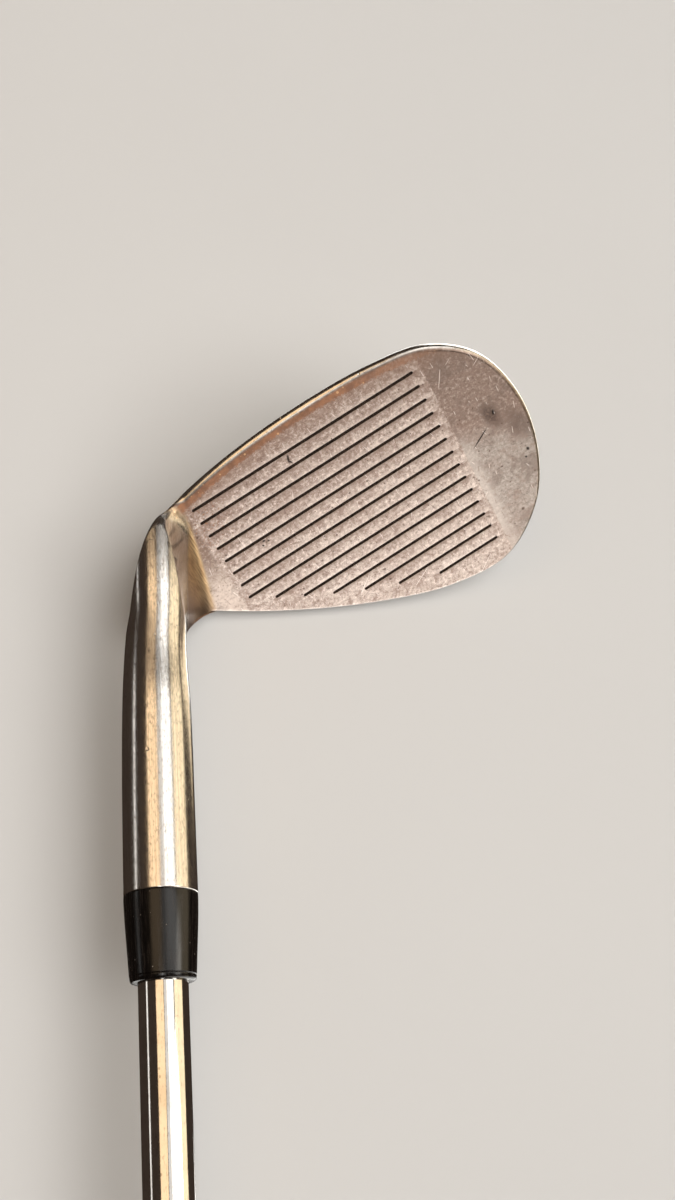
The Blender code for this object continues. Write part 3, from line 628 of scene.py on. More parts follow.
def ferrule_plastic():
    """Glossy black cellulose with turning lines, dust and handling scuffs."""
    mat = Finish("ferrule_plastic")
    here, x, y, z = mat.axes()
    turning = mat.lined(x, y, z, 0.05, 9.0, 3.0, 0.6)
    rubs = mat.lined(x, y, z, 2.0, 0.10, 4.0, 0.7)
    smear = mat.noise(here, 0.8, 5.0, 0.7)
    dust = mat.either(mat.specks(here, 0.9, 0.2, 0.12), mat.specks(here, 0.5, 0.12, 0.10))
    colour = mat.painted(
        mat.blend(mat.fade(rubs, 0.45, 0.7), (0.002, 0.0015, 0.0012), (0.012, 0.008, 0.006)),
        (mat.times(dust, 0.6), (0.26, 0.21, 0.17)))
    rough = mat.plus(mat.fade(rubs, 0.35, 0.7, 0.15, 0.27), mat.times(smear, 0.06),
                     mat.times(dust, 0.3))
    normal = mat.relief(mat.plus(mat.times(rubs, 0.6), dust), 0.009, mat.relief(turning, 0.004))
    mat.set(Base_Color=colour, Roughness=rough, IOR=1.5, Normal=normal)
    return mat.material


def band_foil():
    """A blank foil label: dark field with two plain silver lines near each end."""
    mat = Finish("band_foil")
    here, x, y, z = mat.axes()
    half = BAND_LENGTH / 2 / MM
    from_end = mat.minus(half, mat.math("ABSOLUTE", mat.minus(z, BAND_START / MM + half)))
    silver = mat.either(*(mat.times(mat.fade(from_end, near - 0.1, near),
                                    mat.fade(from_end, far, far - 0.1))
                          for near, far in ((2.0, 4.2), (5.5, 6.0))))
    wear = mat.noise(here, 0.6, 6.0, 0.7)
    rub = mat.scratches(mat.join(mat.times(mat.math("ARCTAN2", y, x), 7.4), z, 0.0),
                        3.0, 5.0, 0.12, 0.3, 1.2, 0.35)
    colour = mat.painted(
        mat.blend(silver, (0.055, 0.058, 0.065), (0.72, 0.72, 0.70)),
        (mat.fade(wear, 0.60, 0.72, 0.0, 0.6), (0.42, 0.41, 0.39)),
        (mat.times(rub, 0.5), (0.62, 0.61, 0.58)))
    mat.set(Base_Color=colour, Metallic=mat.level(silver, 0.3, 1.0),
            Roughness=mat.fade(wear, 0.35, 0.7, 0.24, 0.46), Normal=mat.relief(wear, 0.012))
    return mat.material


def grip_rubber():
    """Matt black rubber with a fine cord-like grain, worn paler on the high parts."""
    mat = Finish("grip_rubber")
    here, x, y, z = mat.axes()
    turn = mat.times(mat.math("ARCTAN2", y, x), 11.0)
    weave = mat.times(*(mat.math("SINE", mat.times(way, 5.2))
                        for way in (mat.plus(turn, z), mat.minus(turn, z))))
    grain = mat.noise(here, 3.4, 5.0, 0.65)
    wear = mat.noise(here, 0.05, 4.0, 0.6)
    dust = mat.specks(here, 1.1, 0.25, 0.10)
    colour = mat.painted(
        mat.blend(mat.fade(wear, 0.38, 0.66), (0.016, 0.016, 0.017), (0.038, 0.037, 0.036)),
        (mat.fade(grain, 0.5, 0.75, 0.0, 0.5), (0.060, 0.058, 0.055)),
        (mat.times(dust, 0.5), (0.20, 0.19, 0.17)))
    rough = mat.plus(mat.fade(grain, 0.3, 0.7, 0.62, 0.82), mat.fade(wear, 0.4, 0.7, 0.0, -0.10))
    mat.set(Base_Color=colour, Roughness=rough,
            Normal=mat.relief(grain, 0.07, mat.relief(weave, 0.05)))
    return mat.material


def cap_rubber():
    """Harder, smoother rubber of the end cap, scuffed round its edge."""
    mat = Finish("cap_rubber")
    here, x, y, _ = mat.axes()
    grain = mat.noise(here, 2.6, 5.0, 0.6)
    scuff = mat.noise(here, 0.7, 6.0, 0.7)
    worn = mat.times(mat.fade(mat.distance(x, y), 12.0, 15.0), mat.fade(scuff, 0.48, 0.62))
    colour = mat.painted(
        mat.blend(mat.fade(grain, 0.4, 0.7), (0.018, 0.018, 0.019), (0.034, 0.033, 0.032)),
        (mat.times(worn, 0.7), (0.105, 0.10, 0.095)))
    mat.set(Base_Color=colour, Roughness=mat.level(worn, 0.48, 0.72),
            Normal=mat.relief(mat.plus(grain, mat.times(worn, scuff, -2.0)), 0.05))
    return mat.material


def hidden_finish(name, low, high, scale, rough, metallic=0.0, depth=0.04):
    """Mottled finish of an inner piece, between two colours."""
    mat = Finish(name)
    here = mat.place(own_frame=False)
    patches = mat.noise(here, scale, 6.0, 0.65)
    mat.set(Base_Color=mat.blend(mat.fade(patches, 0.35, 0.65), low, high), Metallic=metallic,
            Roughness=mat.fade(patches, 0.3, 0.7, rough - 0.08, rough + 0.08),
            Normal=mat.relief(patches, depth))
    return mat.material


def floor_paint():
    """Pale matt studio floor with a trace of unevenness."""
    mat = Finish("studio_floor")
    here = mat.place(own_frame=False)
    cloud = mat.noise(here, 0.004, 3.0)
    mat.set(Base_Color=mat.blend(cloud, (0.56, 0.552, 0.542), (0.60, 0.592, 0.582)),
            Roughness=0.9)
    return mat.material


# --- turned pieces ---
def softened(corners, steps=5):
    """A closed profile of (radius, height, rounding) with each corner replaced by a curve."""
    points = np.array([corner[:2] for corner in corners])
    furthest = 0.45                    # the share of a side that one corner's curve may take
    soft = []
    for i, (_, _, rounding) in enumerate(corners):
        here = points[i]
        if rounding == 0.0:
            soft.append(tuple(here))
            continue
        before, after = (
            here + (other - here) * min(rounding / np.linalg.norm(other - here), furthest)
            for other in (points[i - 1], points[(i + 1) % len(points)]))
        soft += [tuple((1 - share)**2 * before + 2 * (1 - share) * share * here + share**2 * after)
                 for share in np.linspace(0.0, 1.0, steps)]
    return soft


def turned(name, profile, steps=TURNED_STEPS):
    """Mesh of a closed or axis-to-axis profile of (radius, height) spun round Z."""
    outline = bpy.data.meshes.new(name)
    closed = profile[0][0] > 0.0
    count = len(profile)
    edges = [(i, (i + 1) % count) for i in range(count if closed else count - 1)]
    outline.from_pydata([(r, 0.0, z) for r, z in profile], edges, [])
    spun = added(name, outline)
    screw = spun.modifiers.new("turn", "SCREW")
    screw.steps = steps
    screw.render_steps = steps
    screw.use_merge_vertices = True
    screw.merge_threshold = 1e-7
    graph = bpy.context.evaluated_depsgraph_get()
    mesh = bpy.data.meshes.new_from_object(spun.evaluated_get(graph))
    bpy.data.objects.remove(spun)
    mesh.name = name
    shade(mesh)
    return mesh


def shaft_radius(distance):
    if distance < HOSEL_TOP:
        share = (distance - SHAFT_TIP) / (HOSEL_TOP - SHAFT_TIP)
        return SHAFT_TIP_RADIUS + (SHAFT_LOW_RADIUS - SHAFT_TIP_RADIUS) * max(share, 0.0)
    steps_passed = sum(distance > FIRST_STEP + i * STEP_PITCH for i in range(STEP_COUNT))
    return SHAFT_LOW_RADIUS + (SHAFT_BUTT_RADIUS - SHAFT_LOW_RADIUS) / STEP_COUNT * steps_passed


def shaft_profile():
    """Down the stepped outside from the butt to the tip, each step softened, and up the bore."""
    step_run = 0.8 * MM
    corners = [(SHAFT_BUTT_RADIUS, SHAFT_BUTT, 0.15 * MM)]
    for i in reversed(range(STEP_COUNT)):
        edge = FIRST_STEP + i * STEP_PITCH
        corners += [(shaft_radius(at), at, 0.25 * MM) for at in (edge + step_run, edge)]
    corners += [(SHAFT_LOW_RADIUS, HOSEL_TOP, 0.0), (SHAFT_TIP_RADIUS, SHAFT_TIP, 0.15 * MM),
                (SHAFT_TIP_RADIUS - SHAFT_WALL, SHAFT_TIP, 0.0),
                (SHAFT_BUTT_RADIUS - SHAFT_WALL, SHAFT_BUTT, 0.0)]
    return softened(corners)


def ferrule_profile():
    """A tapered collar: a crisp foot, a turned line near the top and a round lip."""
    foot = HOSEL_TOP + SEAM
    top = HOSEL_TOP + FERRULE_LENGTH
    bore = SHAFT_LOW_RADIUS + FIT_GAP
    waist = 6.15 * MM
    line = top - 0.95 * MM
    return softened([
        (bore, top, 0.0), (waist - 0.18 * MM, top, 0.75 * MM),
        (waist, line, 0.10 * MM), (waist - 0.12 * MM, line - 0.10 * MM, 0.05 * MM),
        (waist + 0.03 * MM, line - 0.22 * MM, 0.08 * MM),
        (HOSEL_RADIUS - 0.12 * MM, foot + 4.5 * MM, 2.0 * MM),
        (HOSEL_RADIUS, foot + 1.0 * MM, 0.5 * MM), (HOSEL_RADIUS - 0.02 * MM, foot, 0.08 * MM),
        (bore, foot, 0.0)])


def band_profile():
    inner = shaft_radius(BAND_START) + 0.01 * MM
    outer = inner + FILM
    return softened([(inner, BAND_START + BAND_LENGTH, 0.0),
                     (outer, BAND_START + BAND_LENGTH, 0.05 * MM),
                     (outer, BAND_START, 0.05 * MM), (inner, BAND_START, 0.0)])


def grip_radius(distance):
    share = (distance - GRIP_MOUTH) / (CLUB_END - GRIP_MOUTH)
    flare = GRIP_FLARE * np.exp((distance - CLUB_END) / GRIP_FLARE_LENGTH)
    return GRIP_MOUTH_RADIUS + (GRIP_BUTT_RADIUS - GRIP_MOUTH_RADIUS) * share ** 1.25 + flare


def cap_profile():
    """The end cap: a dished end with a vent, a round edge and a thin line round its skirt."""
    foot = GRIP_END + SEAM
    skirt = float(grip_radius(GRIP_END))
    inner_rim = 9.5 * MM
    return softened([
        (VENT_RADIUS, CLUB_END - 0.5 * MM, 0.15 * MM),
        (inner_rim - 0.6 * MM, CLUB_END - 0.5 * MM, 0.4 * MM),
        (inner_rim + 0.2 * MM, CLUB_END, 0.4 * MM),
        (CAP_RADIUS, CLUB_END, 2.6 * MM),
        (CAP_RADIUS, foot + 2.4 * MM, 0.5 * MM), (skirt + 0.05 * MM, foot + 0.25 * MM, 0.15 * MM),
        (skirt - 0.15 * MM, foot, 0.0), (VENT_RADIUS, foot, 0.0)], steps=8)


# --- the grip ---
def tread_depth(angle, distance):
    """Depth of the moulded tread: rings at both ends, crossing diagonals between them."""
    starts = 8
    lead = 8.0 * MM
    half_width = 0.07
    deep = 0.42 * MM
    turn = angle / (2 * math.pi) * starts
    cut = np.zeros_like(angle)
    for direction in (1, -1):
        phase = np.mod(turn + direction * distance / lead, 1.0) - 0.5
        cut = np.maximum(cut, np.exp(-(phase / half_width)**2))
    tread_low = GRIP_MOUTH + 22 * MM
    tread_high = GRIP_END - 24 * MM
    run_out = 2 * MM
    ends = np.clip(np.minimum(distance - tread_low, tread_high - distance) / run_out, 0.0, 1.0)
    depth = cut * ends * deep
    rings = [tread_low - 2.5 * MM, tread_high + 2.5 * MM]
    for i in range(5):
        rings += [GRIP_MOUTH + (4 + 3 * i) * MM, GRIP_END - (6 + 3 * i) * MM]
    ring_size = 0.45 * MM
    for ring in rings:
        depth = np.maximum(depth, ring_size * np.exp(-((distance - ring) / ring_size)**2))
    return depth


def grip_mesh():
    """The moulded sleeve as one closed grid: mouth, treaded outside, end and bore."""
    bore = SHAFT_BUTT_RADIUS + FIT_GAP + FILM + FIT_GAP
    lip = 0.7 * MM
    distances = np.linspace(GRIP_MOUTH + lip, GRIP_END, GRIP_ROWS)
    angles = np.linspace(0.0, 2 * math.pi, GRIP_COLUMNS, endpoint=False)
    angle, distance = np.meshgrid(angles, distances)
    radius = grip_radius(distance) - tread_depth(angle, distance)
    turn = np.linspace(0.0, math.pi / 2, 5)[:-1]
    lip_radius = GRIP_MOUTH_RADIUS - lip * (1 - np.sin(turn))
    lip_distance = GRIP_MOUTH + lip * (1 - np.cos(turn))
    rings = [(np.full(GRIP_COLUMNS, bore), GRIP_MOUTH)]
    rings += [(np.full(GRIP_COLUMNS, r), z) for r, z in zip(lip_radius, lip_distance)]
    rings += list(zip(radius, distances))
    rings += [(np.full(GRIP_COLUMNS, bore), GRIP_END)]
    loft = Loft()
    indices = [loft.add(np.stack([r * np.cos(angles), r * np.sin(angles),
                                  np.full(GRIP_COLUMNS, z)], axis=1)) for r, z in rings]
    for ring, other in zip(indices, indices[1:] + indices[:1]):
        loft.bridge(other, ring)
    mesh = loft.mesh("grip")
    shade(mesh, 60.0)
    return mesh


# --- the head ---
class Loft:
    """Collects vertices and faces of one closed surface."""

    def __init__(self):
        self.points = []
        self.faces = []

    def add(self, points):
        first = len(self.points)
        self.points.extend(tuple(p) for p in points)
        return list(range(first, len(self.points)))

    def face(self, corners):
        kept = list(dict.fromkeys(corners))
        if len(kept) > 2:
            self.faces.append(kept)

    def bridge(self, ring, other):
        for i in range(len(ring)):
            j = (i + 1) % len(ring)
            self.face([ring[j], other[j], other[i], ring[i]])

    def mesh(self, name):
        mesh = bpy.data.meshes.new(name)
        mesh.from_pydata(self.points, [], self.faces)
        mesh.update()
        return mesh


def running_total(steps):
    """Sums of the steps so far, from 0."""
    return np.concatenate([[0.0], np.cumsum(steps)])


def smooth_curve(points, share):
    """Catmull-Rom curve through points, at shares 0 to 1 of its own chord parameter."""
    chord = np.linalg.norm(np.diff(points[:, :2], axis=0), axis=1)
    knots = running_total(np.sqrt(chord))
    knots /= knots[-1]
    gap = np.diff(knots)[:, None]
    slope = np.diff(points, axis=0) / gap
    tangent = np.empty_like(points)
    tangent[1:-1] = (slope[:-1] * gap[1:] + slope[1:] * gap[:-1]) / (gap[:-1] + gap[1:])
    tangent[0] = 2 * slope[0] - tangent[1]
    tangent[-1] = 2 * slope[-1] - tangent[-2]
    i = np.clip(np.searchsorted(knots, share, side="right") - 1, 0, len(knots) - 2)
    width = gap[i]
    t = (share - knots[i])[:, None] / width
    return ((2 * t**3 - 3 * t**2 + 1) * points[i] + (t**3 - 2 * t**2 + t) * width * tangent[i]
            + (3 * t**2 - 2 * t**3) * points[i + 1] + (t**3 - t**2) * width * tangent[i + 1])


def columns_at(x, curve):
    """Every column of a curve, read where its first column is x."""
    return np.stack([np.interp(x, curve[:, 0], column) for column in curve.T], axis=1)


def spread_evenly(curve, count):
    """count points inside a curve, evenly along its length in the face plane."""
    length = running_total(np.linalg.norm(np.diff(curve[:, :2], axis=0), axis=1))
    wanted = np.linspace(0.0, length[-1], count + 2)[1:-1]
    return np.stack([np.interp(wanted, length, column) for column in curve.T], axis=1)


def outline_stations():
    """Outline points round the blade, each with the spine point its section runs in to."""
    curve = smooth_curve(np.array(OUTLINE), np.linspace(0.0, 1.0, 4000))
    tip = int(np.argmax(curve[:, 0]))
    sole_side = curve[:tip]
    top_side = curve[tip:][::-1]
    share = np.linspace(0.0, 1.0, BLADE_STATIONS)
    low = columns_at(HEEL_LOW_X + (TOE_CENTRE_X - HEEL_LOW_X) * share, sole_side)
    high = columns_at(HEEL_TOP_X + (TOE_CENTRE_X - HEEL_TOP_X) * share, top_side)
    toe_curve = curve[curve[:, 0] > TOE_CENTRE_X]
    toe = spread_evenly(np.vstack([low[-1:], toe_curve, high[-1:]]), TOE_STATIONS)
    spine = (low[:, :2] + high[:, :2]) / 2
    edge = np.vstack([low, toe, high[::-1]])
    centre = np.vstack([spine, np.repeat(spine[-1:], TOE_STATIONS, axis=0), spine[::-1]])
    return edge, centre


def back_thickness(x, f):
    """Thin upper blade, thick muscle behind the sole, and a soft step between them."""
    step = MUSCLE_EDGE + MUSCLE_RISE * (x - HEEL_LOW_X)
    return BLADE_THICKNESS + (MUSCLE_THICKNESS - BLADE_THICKNESS) / (
        1 + np.exp((f - step) / MUSCLE_SPREAD))


def section(edge, centre):
    """One section from the face's edge, round the rim and over the back to the spine.

    Returns rows of (x, f, depth behind the face), closest together where the section turns."""
    x, f, rounding, slope, extra, run = edge
    inward = centre - edge[:2]
    reach = np.linalg.norm(inward)
    inward /= reach
    turn = np.linspace(0.0, math.pi / 2, 24)
    near_rim = 3.0                     # millimetres in from the edge, read more finely
    lip_depth = rounding * EDGE_DEPTH
    lip_in = rounding * (1 - np.sin(turn))
    lip_down = lip_depth * (1 - np.cos(turn))
    wall_in = np.concatenate([np.linspace(0.0, near_rim, 120)[1:],
                              np.linspace(near_rim, reach, 320)[1:]])
    wall = lip_depth + slope * wall_in + extra * (1 - np.exp(-wall_in / run))
    back = back_thickness(x + inward[0] * wall_in, f + inward[1] * wall_in)
    blend = -CORNER_SOFTNESS * np.log(
        np.exp(-wall / CORNER_SOFTNESS) + np.exp(-back / CORNER_SOFTNESS))
    into = np.concatenate([lip_in, wall_in])
    depth = np.concatenate([lip_down, np.maximum(blend, lip_depth)])
    run_in, run_down = np.diff(into), np.diff(depth)
    length = running_total(np.hypot(run_in, run_down))
    bend = np.abs(np.diff(np.arctan2(run_down, run_in)))
    bend = np.concatenate([[0.0], bend, [0.0]])
    pace = length / length[-1] + BEND_WEIGHT * np.cumsum(bend) / bend.sum()
    wanted = np.linspace(0.0, pace[-1], RIM_ROWS)
    into, depth = (np.interp(wanted, pace, way) for way in (into, depth))
    return np.stack([x + inward[0] * into, f + inward[1] * into, depth], axis=1)


def in_head_frame(points):
    """From (x, f, depth) in millimetres to metres in the head's frame."""
    return points * np.array([MM, MM, -MM])


def neck_start(angles):
    """How far up the shaft line the round neck begins, which depends on the side of it."""
    turn = np.arange(360.0)
    ends, starts = zip(*NECK_STARTS)
    rough = np.interp(turn, ends, starts, period=360.0)
    reach = 15
    window = np.hanning(2 * reach + 1)
    around = np.concatenate([rough[-reach:], rough, rough[:reach]])
    smooth = np.convolve(around, window / window.sum(), "valid")
    return np.interp(np.degrees(angles), turn, smooth, period=360.0) * MM


def neck_circle(distance, angles, inset=0.0):
    """Points round the hosel at distances along the shaft line.

    The heel side narrows towards the blade, and the toe side only dips where it meets it."""
    along = distance / MM
    taper = np.exp(-(np.maximum(along, HEEL_TAPER_LOWEST) - HEEL_TAPER_AT) / HEEL_TAPER_RUN)
    heel_side = HOSEL_RADIUS - HEEL_TAPER * MM * taper
    dip = np.exp(-((along - TOE_DIP_AT) / TOE_DIP_RUN)**2)
    toe_side = HOSEL_RADIUS - TOE_DIP * MM * dip
    radius = heel_side + (toe_side - heel_side) * (1 + np.cos(angles)) / 2 - inset
    steps = np.stack([distance + 0 * angles, radius * np.cos(angles), radius * np.sin(angles)], axis=1)
    return SHAFT_ORIGIN + steps @ np.stack([ALONG_SHAFT, NECK_TOE_SIDE, NECK_FRONT])


def neck_angles(back_points, face_count):
    """Where each point of the blade's heel section meets the round neck."""
    along = running_total(np.linalg.norm(np.diff(back_points, axis=0), axis=1))
    shares, turns = zip(*BACK_TURNS)
    back = np.interp(along / along[-1], shares, turns)
    share = (np.arange(face_count) + 1) / (face_count + 1)
    face = turns[-1] + (360.0 + turns[0] - turns[-1]) * share
    return np.radians(np.concatenate([back, face]))


def handle_lengths(handles, angles, gap):
    """Handle length of each bend curve, by where it leaves the neck and how far it has to go."""
    toe_side, heel_side, front = handles
    heelward = (1 - np.cos(angles)) / 2
    frontward = np.clip(0.5 + np.sin(angles), 0.0, 1.0)**2
    length = toe_side + (heel_side - toe_side) * heelward
    length += (front - length) * frontward
    return np.minimum(length * MM, HANDLE_LIMIT * gap)[:, None]


def loft_blade(loft):
    """The rim and back as sections round the outline; returns their vertices and places."""
    edge, centre = outline_stations()
    flat = np.stack([section(e, c) for e, c in zip(edge, centre)])
    placed = in_head_frame(flat)
    grid = [loft.add(row[:-1]) for row in placed]
    spine = loft.add(placed[:BLADE_STATIONS, -1])
    for i, column in enumerate(grid):
        mirrored = len(grid) - 1 - i
        column.append(spine[min(i, mirrored, BLADE_STATIONS - 1)])
    for left, right in zip(grid, grid[1:]):
        for a, b, c, d in zip(left, left[1:], right[1:], right):
            loft.face([d, c, b, a])
    return grid, flat, placed


def bend_rings(start, away, begin, angles):
    """Rings of the smooth bend from the blade's heel section into the round neck."""
    end = neck_circle(begin, angles)
    uphill = neck_circle(begin + 0.1 * MM, angles) - end
    uphill /= np.linalg.norm(uphill, axis=1)[:, None]
    gap = np.linalg.norm(end - start, axis=1)
    leave = start + away * handle_lengths(BLADE_HANDLES, angles, gap)
    arrive = end - uphill * handle_lengths(NECK_HANDLES, angles, gap)
    for i in range(1, HEEL_RINGS + 1):
        t = i / HEEL_RINGS
        yield ((1 - t)**3 * start + 3 * (1 - t)**2 * t * leave
               + 3 * (1 - t) * t**2 * arrive + t**3 * end)


def neck_rings(begin, angles):
    """Rings up the round neck, growing evenly spaced, and over the chamfer at its top."""
    even = angles[0] + np.linspace(0.0, 2 * math.pi, len(angles), endpoint=False)
    chamfer = 0.35 * MM
    for i in range(1, NECK_RINGS + 1):
        rise = i / NECK_RINGS
        ease = min(1.0, 2 * rise)
        ease = ease * ease * (3 - 2 * ease)
        distance = begin + (HOSEL_TOP - chamfer - begin) * rise
        yield neck_circle(distance, angles * (1 - ease) + even * ease)
    for turn in np.linspace(0.0, math.pi / 2, 5)[1:]:
        distance = HOSEL_TOP - chamfer * (1 - math.sin(turn))
        yield neck_circle(distance, even, chamfer * (1 - math.cos(turn)))


def head_blank():
    """The forged head before cutting: flat face, rounded rim, sole, muscle back and hosel."""
    loft = Loft()
    grid, flat, placed = loft_blade(loft)
    share = (np.arange(FACE_COLUMNS) + 1)[:, None] / (FACE_COLUMNS + 1)
    heel_line = in_head_frame(flat[-1, 0] + (flat[0, 0] - flat[-1, 0]) * share)
    heel_face = loft.add(heel_line)
    loft.face(([column[0] for column in grid] + heel_face)[::-1])

    back_points = np.vstack([placed[0], placed[-1][-2::-1]])
    start = np.vstack([back_points, heel_line])
    heelward = np.array([[-1.0, 0.0, 0.0]])
    away = np.vstack([placed[0] - placed[1], (placed[-1] - placed[-2])[-2::-1],
                      np.repeat(heelward, FACE_COLUMNS, axis=0)])
    away /= np.linalg.norm(away, axis=1)[:, None]
    angles = neck_angles(back_points, FACE_COLUMNS)
    begin = neck_start(angles)
    ring = grid[0] + grid[-1][-2::-1] + heel_face
    for points in (*bend_rings(start, away, begin, angles), *neck_rings(begin, angles)):
        following = loft.add(points)
        loft.bridge(ring, following)
        ring = following
    loft.face(ring)
    return loft.mesh("iron_head_blank")


def groove_heel_end(up_face):
    """Heel end of the groove at a height up the face: the score line, or short of the top line."""
    curve = smooth_curve(np.array(OUTLINE), np.linspace(0.0, 1.0, 600))
    top = curve[int(np.argmax(curve[:, 1])):][::-1]
    limit = np.interp((up_face + GROOVE_TOPLINE_MARGIN) / MM, top[:, 1], top[:, 0]) * MM
    return max(SCORE_LINE_HEEL, limit)


def groove_lines():
    """(height up the face, heel end, toe end) of every groove's centre line."""
    half = GROOVE_WIDTH / 2
    heights = (GROOVE_FIRST + i * GROOVE_PITCH for i in range(GROOVE_COUNT))
    return [(up_face, groove_heel_end(up_face) + half, SCORE_LINE_TOE - half)
            for up_face in heights]


def groove_cutter():
    """Round-ended troughs with soft lips and sloping walls, one to a groove."""
    half = GROOVE_WIDTH / 2
    lip = 0.07 * MM
    levels = ((0.20 * MM, half + lip), (0.0, half + 0.6 * lip), (-0.5 * lip, half + 0.15 * lip),
              (-1.2 * lip, half), (-0.75 * GROOVE_DEPTH, half - 0.10 * MM),
              (-GROOVE_DEPTH, half - 0.22 * MM))
    half_turn = np.linspace(-math.pi / 2, math.pi / 2, 11)
    loft = Loft()
    for up_face, heel, toe in groove_lines():
        ends = [(toe, a) for a in half_turn] + [(heel, a + math.pi) for a in half_turn]
        rings = [loft.add([(x + width * math.cos(a), up_face + width * math.sin(a), height)
                           for x, a in ends]) for height, width in levels]
        loft.face(rings[0])
        for ring, other in zip(rings, rings[1:]):
            loft.bridge(other, ring)
        loft.face(rings[-1][::-1])
    return loft.mesh("groove_cutter")


def nick_cutter():
    """Slivers that leave small dents in the leading edge and the sole."""
    nicks = (
        ((49.9, -0.35, -0.2), (0.50, 0.75, 0.45), 0.5),
        ((31.6, -1.05, -0.9), (0.40, 0.6, 0.4), -0.4),
        ((18.5, -0.05, -0.9), (0.30, 0.5, 0.4), 0.2),
    )
    shape = bmesh.new()
    for middle, radii, turn in nicks:
        matrix = (Matrix.Translation(Vector(middle) * MM) @ Matrix.Rotation(turn, 4, "Z")
                  @ Matrix.Diagonal((*(Vector(radii) * MM), 1.0)))
        bmesh.ops.create_icosphere(shape, subdivisions=2, radius=1.0, matrix=matrix)
    mesh = bpy.data.meshes.new("nick_cutter")
    shape.to_mesh(mesh)
    shape.free()
    return mesh


def bore_cutter():
    """The blind hole for the shaft's tip, in the head's frame."""
    profile = [(0.0, HOSEL_TOP + 5 * MM), (BORE_RADIUS, HOSEL_TOP + 5 * MM),
               (BORE_RADIUS, BORE_BOTTOM), (0.0, BORE_BOTTOM)]
    mesh = turned("bore_cutter", profile, 96)
    mesh.transform(head_matrix().inverted() @ SHAFT_LINE)
    return mesh


def carved(blank, cutters):
    """The blank after its cutters have been taken out of it."""
    body = added("blank", blank)
    tools = [added(mesh.name, mesh) for mesh in cutters]
    for tool in tools:
        modifier = body.modifiers.new(tool.name, "BOOLEAN")
        modifier.operation = "DIFFERENCE"
        modifier.solver = "EXACT"
        modifier.object = tool
    graph = bpy.context.evaluated_depsgraph_get()
    result = bpy.data.meshes.new_from_object(body.evaluated_get(graph))
    for obj in (body, *tools):
        bpy.data.objects.remove(obj)
    return result


def groove_polygons(mesh):
    """The polygons on the walls and floors of the grooves, below their lips."""
    lines = groove_lines()
    half = GROOVE_WIDTH / 2 + 0.1 * MM
    lowest, highest = -0.6 * MM, -0.05 * MM
    found = []
    for polygon in mesh.polygons:
        x, f, out = polygon.center
        number = round((f - GROOVE_FIRST) / GROOVE_PITCH)
        if not 0 <= number < GROOVE_COUNT or not lowest < out < highest:
            continue
        up_face, heel, toe = lines[number]
        if abs(f - up_face) < half and heel - half < x < toe + half:
            found.append(polygon.index)
    return found


def head():
    mesh = carved(head_blank(), [groove_cutter(), nick_cutter(), bore_cutter()])
    mesh.name = "iron_head"
    shade(mesh, 32.0)
    grooves = groove_polygons(mesh)
    obj = place("forged_head", mesh, head_matrix(), head_steel(), "head_steel", "iron_head")
    mesh.materials.append(groove_dirt())
    for polygon in grooves:
        mesh.polygons[polygon].material_index = 1
    flat = obj.modifiers.new("keep_flats_flat", "WEIGHTED_NORMAL")
    flat.mode = "FACE_AREA"
    flat.weight = 100
    flat.keep_sharp = True


# --- stage, lights and camera ---
HEAD_LOW, HEAD_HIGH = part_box("iron_head")
STAGE_CENTRE = (HEAD_LOW + HEAD_HIGH) / 2


def studio():
    """A pale floor that curves up into a wall all round; metal doesn't mirror it."""
    flat = 3.2
    bend = 1.2
    wall_top = 3.6
    arc = [(flat + bend * math.sin(a), bend * (1 - math.cos(a)))
           for a in np.linspace(0.0, math.pi / 2, 17)]
    profile = [(0.0, 0.0)] + arc + [(flat + bend, wall_top)]
    mesh = turned("studio_floor", profile, 96)
    floor = added("studio_floor", mesh)
    mesh.materials.append(floor_paint())
    floor.visible_glossy = False


def facing(back):
    """Rotation that turns a light's or camera's +Z to point back this way."""
    return (-Vector(back)).to_track_quat("-Z", "Y").to_matrix().to_4x4()


def panel(name, place, target, size, brightness, colour, along=None):
    """A rectangular soft light that looks as bright as a white surface times brightness.

    along is the direction of its first side."""
    light = bpy.data.lights.new(name, "AREA")
    light.shape = "RECTANGLE"
    light.size, light.size_y = size
    light.energy = brightness * math.pi * size[0] * size[1]
    light.color = colour
    obj = added(name, light)
    back = (Vector(place) - Vector(target)).normalized()
    first = Vector(along) if along else Vector((0.0, 0.0, 1.0)).cross(back)
    first = (first - back * first.dot(back)).normalized()
    second = back.cross(first)
    turn = Matrix((first, second, back)).transposed().to_4x4()
    obj.matrix_world = Matrix.Translation(place) @ turn
    obj.visible_camera = False
    return obj


def round_the_shaft(name, first, last, brightness, colour):
    """A strip light along the shaft line that fills a range of angles round it, in degrees.

    Zero is on the camera's side and positive angles are on the toe side."""
    distance = 0.8
    near, far = -0.10, 0.40
    low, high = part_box("ferrule")
    middle = (low + high) / 2 + Vector((0.0, (near + far) / 2, 0.0))
    camera_side = Vector((-0.306, 0.0, 0.952))
    toe_side = Vector((0.952, 0.0, 0.306))
    angle = math.radians(first + last) / 2
    way = camera_side * math.cos(angle) + toe_side * math.sin(angle)
    width = 2 * distance * math.tan(math.radians(last - first) / 2)
    return panel(name, middle + way * distance, middle, (far - near, width), brightness, colour,
                 along=(0.0, 1.0, 0.0))


def toward_head(name, direction, distance, size, brightness, colour):
    """A panel that lies in one direction from the head and faces it."""
    way = Vector(direction).normalized()
    return panel(name, STAGE_CENTRE + way * distance, STAGE_CENTRE, size, brightness, colour)


